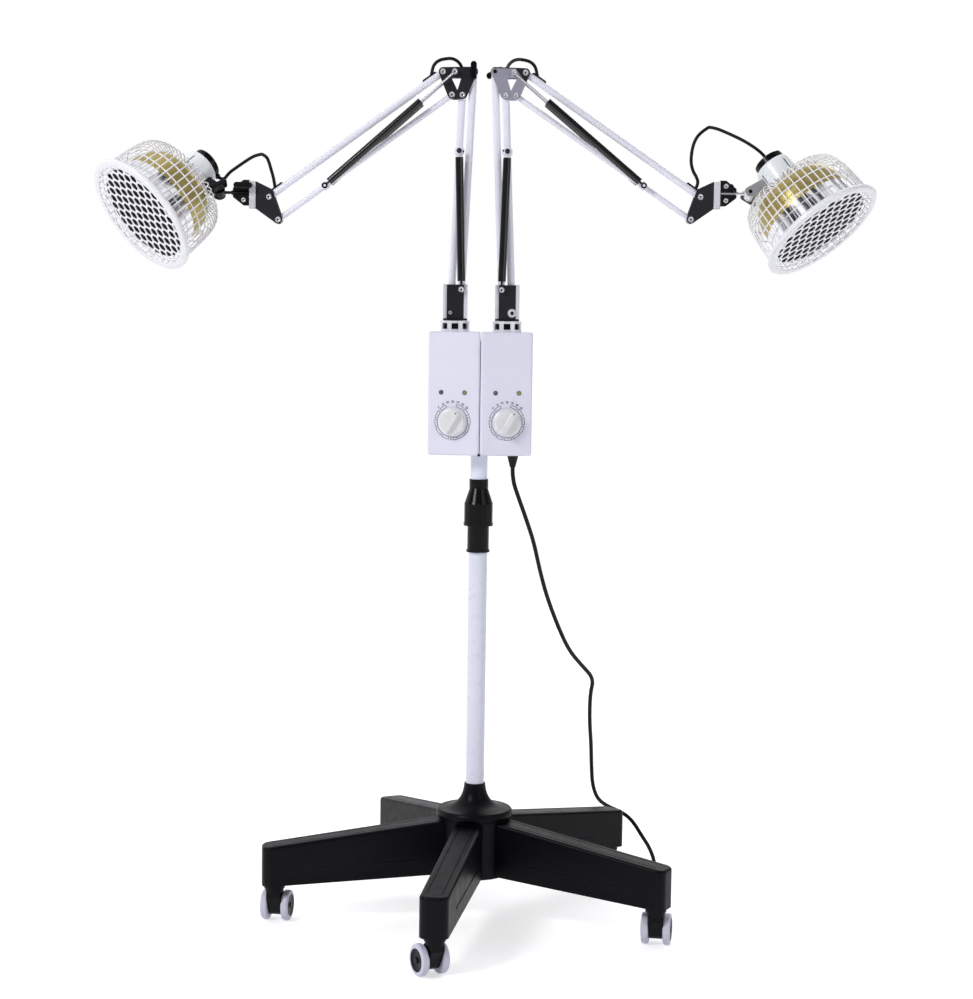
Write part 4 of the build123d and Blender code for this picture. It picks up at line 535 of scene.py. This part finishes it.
# ------------------------------------------------------------------ mains cord
# the route of part.py, in millimetres: down to the floor behind the base, then a coil of three turns
ROUTE = [
    (54.8, -15, 755), (54.8, -15, 735), (65, -12, 706), (79, -4, 668), (92, 7, 630), (101, 20, 590),
    (114, 38, 541), (134, 65, 487), (156, 95, 437), (180, 124, 406), (203, 146, 379), (198, 162, 350),
    (199, 189, 299), (204, 215, 251), (207, 240, 201), (210, 257, 168), (220, 272, 138),
    (240, 286, 121), (266, 291, 110), (285, 285, 96), (301, 272, 72), (315, 258, 53), (323, 240, 32),
    (322, 215, 12), (307, 190, 3.5), (280, 170, 3.5), (246, 158, 3.5), (216, 161, 3.5),
    (194, 180, 3.5), (183, 210, 3.5), (181, 240, 3.5),
]
COIL_X, COIL_Y, COIL_RADIUS, FIRST_TURN_OUT = 138, 268, 38.5, 7.05
COIL_POINTS, POINTS_A_TURN = 40, 12
CORD_RADIUS, CORD_WIDTH = 3.5, 7.0
for i in range(COIL_POINTS):
    turns = i / POINTS_A_TURN
    r = COIL_RADIUS + FIRST_TURN_OUT * max(0.0, 1 - turns * 1.6)
    z = CORD_RADIUS + CORD_WIDTH * min(turns, 3.0)
    ROUTE.append((*polar(r, 2 * math.pi * turns, COIL_X, COIL_Y), z))
# from the coil's last turn down to the plug
ROUTE += [(120, 306.5, 19.5), (102, 306.5, 11), (84, 306.5, 8)]


def route_line(points, fineness):
    """The smooth NURBS line of a cord's route, its points read back in millimetres."""
    data = bpy.data.curves.new("route", "CURVE")
    data.dimensions, data.resolution_u = "3D", fineness
    spline = data.splines.new("NURBS")
    spline.points.add(len(points) - 1)
    for control, point in zip(spline.points, points):
        control.co = (*(Vector(point) * MM), 1)
    spline.order_u = 3
    spline.use_endpoint_u = True
    holder = bpy.data.objects.new("route", data)
    read = bpy.data.meshes.new_from_object(holder)
    line = [v.co / MM for v in read.vertices]
    bpy.data.meshes.remove(read)
    bpy.data.objects.remove(holder)
    bpy.data.curves.remove(data)
    return line


# the hanging part and the coil on the floor, as one fixed tube
mains = route_line(ROUTE, 5)
lead = Mesh().tube(mains, CORD_RADIUS, 12).make("mains_lead", RUBBER, None, "cord_rubber", angle=60)
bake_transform(lead)
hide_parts("mains_cord", "cord_coil")

# ------------------------------------------------------------------ small shared forms
CABLE = 5.4    # diameter of the lamp cables, mm


def rivets(name, spots, body, place, radius=4.95, lift=2.05):
    """Tubular rivet heads with a dark middle, a painted shade in their hollow; each spot is x, z and the y of
    the face below.
    """
    ring, hollow_shade = Mesh(), Mesh()
    for x, z, y in spots:
        for side_place in both_sides(x, z, y):
            ring.lathe([(radius, 0), (radius, lift * 0.55), (radius * 0.82, lift), (radius * 0.5, lift),
                        (radius * 0.34, lift * 0.75), (radius * 0.34, 0)], side_place, 24)
            hollow_shade.lathe([(0.05, 0.1), (radius * 0.33, 0.1), (radius * 0.33, lift * 0.6), (0.05, lift * 0.6)],
                       side_place, 16)
    ring.make(f"{name}_rings", STEEL, body, "chrome", place)
    hollow_shade.make(f"{name}_hollow_shades", DARKCHROME, body, "black_steel", place)


def cable(name, points):
    """Lamp cable on a route (mm), as one fixed mesh tube."""
    line = route_line(points, 8)
    o = Mesh().tube(line, CABLE / 2, 14).make(name, RUBBER, None, "cord_rubber", angle=60)
    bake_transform(o)


# ------------------------------------------------------------------ casters
WHEEL_AT = 331.0                                    # from the column's axis to a caster's stem
FIRST_LEG, LEG_STEP = -100, 72                      # degrees
TRAIL_TURNS = (29.0, -10.0, 20.0, 40.0, -10.0)      # degrees, from each leg's caster at zero
TRAIL, AXLE_HEIGHT = 0.016, 0.025                   # metres
DISC = [(0.05, 21.8), (16.3, 21.8), (18.2, 23.55), (18.0, 24.0), (16.9, 24.1), (15.0, 23.3), (5.2, 23.0),
        (4.6, 24.6), (0.05, 24.9)]
for k in range(5):
    leg = math.radians(FIRST_LEG + LEG_STEP * k)
    stem = Matrix.Translation(Vector((math.cos(leg), math.sin(leg), 0)) * WHEEL_AT * MM)
    swivel = Matrix.Rotation(math.radians(TRAIL_TURNS[k]), 4, "Z")
    axle = stem @ swivel @ Matrix.Translation((0, TRAIL, AXLE_HEIGHT))
    discs = Mesh()
    for s in (-1, 1):
        discs.lathe(DISC, Matrix.Rotation(s * math.pi / 2, 4, "Y"), 48)
    discs.make(f"wheel_discs_{k + 1}", BASE, f"wheels_{k + 1}", "caster_black", axle, 30)

# ------------------------------------------------------------------ control boxes
SLOPE = math.radians(9.46232)    # the boxes' fronts turn away from the middle
PANEL_X, PANEL_Y = 44.0, -46 + 43.5 * 14 / 84    # middle of a front
DIAL_Z, LENS_Z, LENS_OUT = 829.5, 877.0, 19.25
PRINT = (0.02, 0.14)             # a print's two faces above the panel


def panel_place(s, across=0.0, z=DIAL_Z):
    """Plane on the front of a box, x to the right, y up and z out of it."""
    x_dir = Vector((math.cos(SLOPE), s * math.sin(SLOPE), 0))
    out = Vector((s * math.sin(SLOPE), -math.cos(SLOPE), 0))
    return axes(Vector((s * PANEL_X, PANEL_Y, z)) + x_dir * across, x_dir, out)


def arc_band(mesh, inner, outer, start, end, steps=10):
    """Printed ring segment between two angles in degrees."""
    outline = []
    for r, sweep in ((outer, range(steps + 1)), (inner, range(steps, -1, -1))):
        outline += [polar(r, math.radians(start + (end - start) * i / steps)) for i in sweep]
    mesh.prism(outline, *PRINT)


DIGITS = {"0": "abcdef", "1": "bc", "2": "abged", "3": "abgcd", "4": "fgbc", "5": "afgcd", "6": "afgedc"}
STROKES = {"a": (0, 2, 1, 2), "b": (1, 2, 1, 1), "c": (1, 1, 1, 0), "d": (0, 0, 1, 0),
           "e": (0, 1, 0, 0), "f": (0, 2, 0, 1), "g": (0, 1, 1, 1)}


def number(mesh, word, x, y, high, thick):
    """Plain stroked number centred on x, y."""
    wide = high * 0.5
    step_x = wide + high * 0.3
    x0 = x - (len(word) * step_x - high * 0.3) / 2
    for digit in word:
        for stroke in DIGITS[digit]:
            ax, ay, bx, by = STROKES[stroke]
            p = Vector((x0 + ax * wide, y + (ay - 1) * high / 2))
            q = Vector((x0 + bx * wide, y + (by - 1) * high / 2))
            w, h = abs(q.x - p.x) + thick, abs(q.y - p.y) + thick
            m = (p + q) / 2
            mesh.prism([(m.x - w / 2, m.y - h / 2), (m.x + w / 2, m.y - h / 2),
                        (m.x + w / 2, m.y + h / 2), (m.x - w / 2, m.y + h / 2)], *PRINT)
        x0 += step_x


KNOB_TURN = math.radians(-30)
RINGS, SEGMENTS = ((24.6, 25.5), (28.6, 29.5)), 11    # the dial's two printed rings and their fields
NUMBER_RADIUS, NUMBER_HEIGHT, STROKE = 32.8, 2.9, 0.6
KNOB_SKIRT = [(0.05, 2), (21.4, 2), (22.9, 2.6), (23.2, 4.2), (22.2, 5.4), (20.6, 5.9), (20.0, 10.2),
              (19.2, 11.2), (0.05, 11.3)]
for side in SIDES:
    s = SIGN[side]
    dial = Mesh()
    for k in range(SEGMENTS):
        field = (53 - 30 * k, 77 - 30 * k)
        for inner, outer in RINGS:
            arc_band(dial, inner, outer, *field)
        for w in field:
            arc_band(dial, RINGS[0][0], RINGS[1][1], w - 0.9, w + 0.9, 2)
    for k in range(7):
        number(dial, str(10 * k), *polar(NUMBER_RADIUS, math.radians(135 - 15 * k)), NUMBER_HEIGHT, STROKE)
    dial.make(f"{side}_dial_print", DIAL, "column", "timer_plastic", panel_place(s))
    # knob: bright skirted cap with a grip bar along its pointer
    turn = panel_place(s) @ Matrix.Rotation(KNOB_TURN, 4, "Z")
    cap = Mesh().lathe(KNOB_SKIRT, segs=72)
    cap.prism(slab(8.6, 39.0, 4.2, 8), 8, 19.6)
    cap_o = cap.make(f"{side}_knob_cap", KNOB, f"timer_knob_{side}", "knob_plastic", turn, 30, 0.5)
    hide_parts(f"timer_knob_{side}")
    dot = Mesh().prism(circle(1.25, 20, 0, 16.6), 19.5, 19.95)
    dot.make(f"{side}_knob_dot", DIAL, f"timer_knob_{side}", "timer_plastic", turn)

DOME = [(3.0 * math.sin(w), 1.6 * math.cos(w)) for w in (0.5, 0.9, 1.2, 1.45)]
for name, mat, offset in (("left_lens", TEAL, -LENS_OUT), ("right_lens", OLIVE, LENS_OUT)):
    lens, bezel = Mesh(), Mesh()
    for s in (-1, 1):
        place = mm_place(panel_place(s, offset, LENS_Z))
        lens.lathe([(0.05, 1.6)] + DOME + [(3.0, -0.5), (0.05, -0.5)], place, 32)
        bezel.lathe([(3.05, -0.2), (3.9, -0.2), (3.9, 0.35), (3.5, 0.7), (3.05, 0.6)], place, 32)
    lens_o = lens.make(f"{name}_pair", mat, "column", "lens")
    bezel.make(f"{name}_bezels", DIAL, "column", "timer_plastic")
    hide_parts("indicator_lenses")
# dark triangle at the foot of the seam between the boxes: painted shade of a notch
notch_shade = Mesh().prism([(-2.6, 0), (2.6, 0), (1.8, 2.6), (0.6, 4.4), (-0.6, 4.4), (-1.8, 2.6)], 0, 1.2,
                    at(-0.6, -45.6, 774.6, TO_FRONT))
notch_shade.make("seam_notch_shade", RUBBER, "column", "cord_rubber")

# ------------------------------------------------------------------ sockets and forks
SOCKET_RADIUS, SOCKET_MIDDLE = 18.95, 983.75
FORK_FROM, FORK_TO = 996.2, 1050.6    # heights of the bright edges
BOLT_FACE = 13.6                      # outer face of the right fork's bolt
# one corner of the fork from above: pale strips on the edges of its inner and outer plates, a painted bright
# reflection
EDGE_STRIP = [(13.9, 9.73), (13.9, 9.98), (16.3, 9.98), (16.3, 12.45), (19.75, 12.45), (19.75, 7.0),
              (19.52, 7.0), (19.52, 12.23), (16.52, 12.23), (16.52, 9.73)]
for side in SIDES:
    # dark patches for the socket's eight windows: painted shade of the inside seen through them
    windows = Mesh()
    for k in range(8):
        radial = Vector((*polar(1, math.radians(90 + 45 * k)), 0))
        middle = Vector((SIGN[side] * ARM, 0, SOCKET_MIDDLE))
        place = axes(middle + radial * SOCKET_RADIUS, Vector((0, 0, 1)), radial)
        windows.prism(slab(9.2, 10.7, 0.8), 0, 0.35, mm_place(place))
    windows.make(f"{side}_socket_window_shades", PLATE, "column", "timer_plastic")
    arm, fork = ARM_AT[side], f"{side}_fork"
    edges = Mesh()
    for mx in (-1, 1):
        for my in (-1, 1):
            outline = [(mx * x, my * y) for x, y in EDGE_STRIP]
            edges.prism(outline if mx == my else outline[::-1], FORK_FROM, FORK_TO)
    edges.make(f"{side}_fork_edge_reflections", PALE, fork, "chrome", arm)
    rivets(f"{side}_fork_pin", [(FORK_HIGH.x, FORK_HIGH.z, WIDE_FACE)], fork, arm)
    if side == "left":
        rivets("left_fork_rivet", [(FORK_LOW.x, FORK_LOW.z, NARROW_FACE)], fork, arm, radius=3.4)
    else:
        bolt, end = Mesh(), Mesh()
        for place in both_sides(FORK_LOW.x, FORK_LOW.z, NARROW_FACE):
            bolt.lathe([(0.05, 0), (7.0, 0), (7.0, 0.8), (6.6, 1.1), (0.05, 1.1)], place, 32)
            bolt.prism(circle(5.8, 6), 1.1, 4.0, place)
        bolt.make("right_fork_bolt", PALE, fork, "chrome", arm, bevel=0.3)
        for place in both_sides(FORK_LOW.x, FORK_LOW.z, BOLT_FACE):
            end.lathe([(0.05, 0), (2.9, 0), (2.9, 0.9), (2.4, 1.4), (0.05, 1.5)], place, 24)
        end.make("right_fork_bolt_end", DARKCHROME, fork, "black_steel", arm)

# ------------------------------------------------------------------ elbows, brackets and lamp cables
CREST = ELBOW + Vector((24.6, 0, 57.7))    # where the loop leaves the black top of the elbow
LOOP = [(0, 0), (8.5, -1.0), (16.5, -4.6), (21.8, -10.2), (24.3, -17.2)]
CLIP_AT, CLIP_FACE = 260, 19.1             # along the lower outer bar, and its outer face
NUT = [(0.05, 0), (4.3, 0), (4.3, 1.3), (3.6, 1.9), (3.3, 3.2), (2.2, 3.9), (0.05, 4.0)]
CLAMP_OUT, CLAMP_UP, CLAMP_SCREW, CLAMP_FACE = 56, 42.4, 11.5, 9.3
BAND_FROM, BAND_TO, BAND_LOW, BAND_HIGH, BAND_FACE, BAND_TOP = 36.4, 46.7, 17.7, 60.3, 10.1, 0.45
for side in SIDES:
    arm, low = ARM_AT[side], BRACKET[side]
    rivets(f"{side}_elbow", [(ELBOW.x, ELBOW.z, NARROW_FACE), (ELBOW_OUT.x, ELBOW_OUT.z, NARROW_FACE),
                             (ELBOW_TOP.x, ELBOW_TOP.z, NARROW_FACE), (ANCHOR.x, ANCHOR.z, WIDE_FACE)],
           f"{side}_elbow", arm)
    clip, nuts = FORK_LOW + LOWER_DIR * CLIP_AT, Mesh()
    for place in both_sides(clip.x, clip.z, CLIP_FACE):
        nuts.lathe(NUT, place, 20)
        nuts.prism(circle(1.7, 6, -6.6, 1.0), -6.5, -2.0, place)
    nuts.make(f"{side}_clip_nuts", DARKCHROME, f"{side}_lower_outer_bar", "black_steel", arm)
    rivets(f"{side}_bracket", [(low.x, low.z, NARROW_FACE), (low.x + RISE.x, low.z + RISE.z, NARROW_FACE)],
           f"{side}_head_bracket", arm)
    screws = [(low.x + CLAMP_OUT, low.z + CLAMP_UP + r, CLAMP_FACE) for r in (-CLAMP_SCREW, CLAMP_SCREW)]
    rivets(f"{side}_clamp", screws, f"{side}_head_bracket", arm, radius=3.9, lift=1.6)
    # bright band round the bracket: a face on each plate and one on top
    band, x0, x1 = Mesh(), low.x + BAND_FROM, low.x + BAND_TO
    for my in (-1, 1):
        outline = [(x0, my * NARROW_FACE), (x1, my * NARROW_FACE), (x1, my * BAND_FACE), (x0, my * BAND_FACE)]
        band.prism(outline if my < 0 else outline[::-1], low.z + BAND_LOW, low.z + BAND_HIGH)
    top = low.z + BAND_HIGH
    band.prism([(x0, -10.0), (x1, -10.0), (x1, 10.0), (x0, 10.0)], top, top + BAND_TOP)
    band.make(f"{side}_band_face", PALE, f"{side}_head_bracket", "chrome", arm, bevel=0.15)
    # rubber strips in the slots of the top bar where the lead goes in
    d = UPPER_DIR[side]
    lift = Vector((-d.z, 0, d.x))
    top_end = ELBOW_TOP + d * UPPER_ARM
    slots, sunk, proud = Mesh(), lift * 5.6, lift * 7.0
    for start, end in ((ELBOW_TOP + d * 9, ELBOW_TOP + d * 36), (top_end - d * 31, top_end - d * 4)):
        slots.tube([start + sunk, start + d * 2 + proud, end - d * 2 + proud, end + sunk],
                   [0.9, 1.7, 1.7, 0.9], 10)
    slots.make(f"{side}_bar_slots", RUBBER, f"{side}_upper_top_bar", "cord_rubber", arm)
    # loop over the elbow, from its black top into the top bar
    over = [CREST + Vector((x, 0, z)) for x, z in LOOP] + [ELBOW_TOP + d * 19 + lift * 6.2]
    cable(f"{side}_elbow_loop", [mm_place(arm) @ p for p in over])


def deep(x, z, y):
    """A point seen at x, z in the plane of the column, moved back to y along the line of sight."""
    k = (DISTANCE + y) / DISTANCE
    return Vector((x * k, y, EYE + (z - EYE) * k))


def head_point(side, x, y, z):
    """A point given in a lamp's own frame."""
    return mm_place(HEAD_AT[side]) @ Vector((x, y, z))


# the leads' routes, from the bracket to the stud and from the stud to the cap's gland
GLAND_TURN = math.radians(20)
left_stud, right_stud = deep(-358.0, 1256.4, 4), deep(364.2, 1309.6, 10)
LEADS = {
    "left": ([deep(-336.5, 1203.0, 0), deep(-338.6, 1217.0, 0), deep(-342.6, 1230.5, 0),
              deep(-347.5, 1247.0, 1), deep(-351.5, 1253.2, 2), left_stud],
             [left_stud, deep(-366.8, 1255.0, 7), deep(-378.0, 1249.2, 12), deep(-397.6, 1235.6, 22),
              deep(-411.0, 1226.0, 29), head_point("left", *polar(40, GLAND_TURN), 151.5),
              head_point("left", *polar(29, GLAND_TURN), 150.5)]),
    "right": ([deep(344.2, 1210.0, 0), deep(348.6, 1217.5, 0), deep(347.5, 1226.8, 0),
               deep(339.1, 1240.0, 1), deep(335.6, 1257.0, 2), deep(339.4, 1283.7, 4),
               deep(350.0, 1301.0, 7), right_stud],
              [right_stud, deep(374.0, 1308.8, 13), deep(394.5, 1300.8, 19), deep(421.2, 1288.9, 26),
               deep(441.6, 1276.4, 31), head_point("right", 0, 0, 172), head_point("right", 0, 0, 162)]),
}
for side in SIDES:
    first, second = LEADS[side]
    cable(f"{side}_lead_low", first)
    cable(f"{side}_lead_high", second)

# ------------------------------------------------------------------ lamp heads
# profiles are radius and height over the rim, in millimetres
WIRES, WIRE_RADIUS = 48, 1.1
WIRE_LINE = [(96.6, 4), (95.6, 20), (94.7, 36), (93.6, 54), (92.2, 68), (90.2, 79), (86.4, 88.5), (80, 95.4),
             (70, 99), (52, 100), (33.5, 100)]
HOOPS = ((96.2, 11.5, 0.8), (94.2, 44, 1.15), (92.7, 63, 1.15), (89.8, 80, 1.0), (60, 99.2, 1.0))
RIM = [(92, 0.2), (93, 0), (100, 0), (103, 0.9), (104.4, 3), (104.3, 6.2), (103, 7.6), (101.6, 7), (101.5, 4),
       (99, 2.2), (93, 1.8), (92, 1.4)]
GRILLE_PITCH, GRILLE_BAR, GRILLE_EDGE, GRILLE_REACH = 17.0, 3.7, 99.0, 101
GRILLE_BACK, GRILLE_FRONT, CORNER_CUT = 0.5, 1.6, 0.13
SKIRT = [(84, 9), (82.6, 17), (80.6, 28), (78.8, 38), (78.0, 44), (77.0, 44), (77.8, 38), (79.6, 28),
         (81.6, 17), (82.9, 9)]
BOWL = [(78.0, 44), (77.6, 52), (76.2, 63), (73.8, 74), (70.0, 83.5), (65, 89.5), (58, 93.6), (46, 96.8),
        (31, 97.9)]
PLATE_PROFILE = [(0.1, 13), (79, 13), (80, 14), (80, 16), (79, 17), (0.1, 17)]
CAP_WALL = [(31.0, 100.05), (31.0, 111.5), (31.0, 134.5), (31.0, 141.5), (30.3, 143.6), (28.6, 144.8),
            (26.5, 145.0)]
SLOT_BAND = 1                                  # the slots lie between this level and the next
SLOT_ANGLES = {"left": -98.0, "right": 20.0}   # degrees, of the first of four slots
HALF_SLOT, STEPS = math.degrees(1.3 / 31), 17
CAP_THICKNESS = 1.4
EAR_RADIUS, EAR_HEIGHTS, EAR_INNER, EAR_OUTER = 9.5, (111.5, 130.5), 5.0, 8.0
END_DISC = [(0.05, 145.05), (24.6, 145.05), (25.4, 145.8), (25.4, 150), (24.6, 150.6), (24.6, 151.8),
            (25.4, 152.4), (25.4, 156), (24.2, 157), (0.05, 157)]
GLAND = [(0.05, 0), (5.0, 0), (5.0, 2.2), (4.2, 3.0), (4.2, 4.0), (4.9, 4.6), (4.9, 6.4), (3.6, 8.9),
         (0.05, 8.9)]


def grille_cell(mesh, x, y):
    """Hexagon of the grille round x, y, with a clipped hexagonal hole, drawn in to the rim."""
    outer = circle(GRILLE_PITCH / math.sqrt(3), 6, x, y)
    inner = circle((GRILLE_PITCH - GRILLE_BAR) / math.sqrt(3), 6, x, y)
    hole, border = [], []
    for q in range(6):
        a, b, c = inner[q - 1], inner[q], inner[(q + 1) % 6]
        hole += [(b[0] + (t[0] - b[0]) * CORNER_CUT, b[1] + (t[1] - b[1]) * CORNER_CUT) for t in (a, c)]
        border += [outer[q], outer[q]]
    ring = []
    for px, py in hole + border:
        k = min(1.0, GRILLE_EDGE / max(1e-6, math.hypot(px, py)))
        ring.append((px * k, py * k))
    faces = []
    for q in range(12):
        w = (q + 1) % 12
        faces += [(q, w, 12 + w, 12 + q), (24 + w, 24 + q, 36 + q, 36 + w), (w, q, 24 + q, 24 + w)]
    mesh.add([(px, py, z) for z in (GRILLE_BACK, GRILLE_FRONT) for px, py in ring], faces)


def guard(side, head, body):
    """Wire basket, rolled rim and grille, in place of the CAD guard."""
    wires = Mesh()
    for k in range(WIRES):
        a = 2 * math.pi * (k + 0.5) / WIRES
        wires.tube([(*polar(r, a), z) for r, z in WIRE_LINE], WIRE_RADIUS, 6)
    for r, z, thick in HOOPS:
        wires.tube([(x, y, z) for x, y in circle(r - 1.4, 96)], thick, 6, closed=True)
    wires_o = wires.make(f"{side}_guard_wires", WIRE, body, "guard_white", head)
    Mesh().lathe(RIM, segs=128).make(f"{side}_guard_rim", WIRE, body, "guard_white", head)
    grille = Mesh()
    for i in range(-8, 9):
        for j in range(-8, 9):
            x, y = GRILLE_PITCH * i * math.sqrt(3) / 2, GRILLE_PITCH * (j + i / 2)
            if math.hypot(x, y) <= GRILLE_REACH:
                grille_cell(grille, x, y)
    grille.make(f"{side}_guard_grille", WIRE, body, "guard_white", head)
    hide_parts(f"{side}_guard")


def reflector(side, head, body):
    """Bright skirt, golden bowl and the dark heat plate on its post."""
    skirt_o = Mesh().lathe(SKIRT, segs=160).make(f"{side}_reflector_skirt", MIRROR, body, "reflector", head)
    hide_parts(f"{side}_reflector")
    bowl = Mesh().lathe(BOWL + [(r - 1.1, z - 0.6) for r, z in reversed(BOWL)], segs=128)
    bowl.make(f"{side}_reflector_dome", GOLD, body, "reflector", head)
    plate = Mesh().lathe(PLATE_PROFILE, segs=96)
    for r in (20, 40, 60):
        plate.lathe([(r, 13.1), (r + 1.2, 12.4), (r + 2.4, 13.1)], segs=96)
    plate.lathe([(0.05, 17.1), (6, 17.1), (6, 96.5), (0.05, 96.5)], segs=24)
    plate.make(f"{side}_heat_plate", PLATE, body, "black_steel", head)


def cap_shell(side, head, body):
    """White cap with four slots, in place of the CAD cap."""
    cuts = []
    for k in range(4):
        middle = SLOT_ANGLES[side] + 90 * k
        cuts += [middle - HALF_SLOT] + [middle + HALF_SLOT + (90 - 2 * HALF_SLOT) * t / (STEPS - 1)
                                        for t in range(STEPS - 1)]
    n, m = len(cuts), len(CAP_WALL)
    verts = [(*polar(r, math.radians(w)), z) for w in cuts for r, z in CAP_WALL]
    faces = [(i * m + q, (i + 1) % n * m + q, (i + 1) % n * m + q + 1, i * m + q + 1)
             for i in range(n) for q in range(m - 1) if i % STEPS or q != SLOT_BAND]
    faces.append(tuple(i * m + m - 1 for i in range(n)))
    cap_o = Mesh().add(verts, faces).make(f"{side}_cap_shell", CAPW, body, "cap_plastic", head)
    wall = cap_o.modifiers.new("wall", "SOLIDIFY")
    wall.thickness, wall.offset = CAP_THICKNESS * MM, -1.0
    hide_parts(f"{side}_lamp_cap")


def cap_fittings(side, head, body):
    """The cap's dark inner sleeve, painted shade seen through its slots; its two ears for the stud; and the
    black end disc with the cable gland.
    """
    inner_shade = Mesh().lathe([(28.2, 100.5), (28.8, 100.5), (28.8, 142), (28.2, 142)], segs=64)
    inner_shade.make(f"{side}_cap_inner_shade", PLATE, body, "black_steel", head)
    round_end = [polar(EAR_RADIUS, math.radians(w), *CAP_PIVOT) for w in range(-90, 91, 15)]
    ear = [(29.5, EAR_HEIGHTS[0])] + round_end + [(29.5, EAR_HEIGHTS[1])]
    ears = Mesh()
    ears.prism(ear, -EAR_OUTER, -EAR_INNER, TO_FRONT)
    ears.prism(ear[::-1], EAR_INNER, EAR_OUTER, TO_FRONT)
    # the ears are bright steel on the right and black on the left: lit and shaded copies of one steel, a
    # painted reflection
    ears.make(f"{side}_cap_ears", STEEL if side == "right" else STEELB, body, "chrome", head, bevel=0.5)
    disc = Mesh().lathe(END_DISC, segs=64)
    if side == "left":
        outwards = axes((0, 0, 0), (0, 0, 1), (*polar(1, GLAND_TURN), 0))
        disc.lathe(GLAND, at(*polar(22.6, GLAND_TURN), 150.5, outwards), 24)
    else:
        disc.lathe(GLAND, at(0, 0, 156), 24)
    disc.make(f"{side}_end_disc", BLACK, body, "wing_plastic", head)


for side in SIDES:
    for build in (guard, reflector, cap_shell, cap_fittings):
        build(side, HEAD_AT[side], f"{side}_lamp")
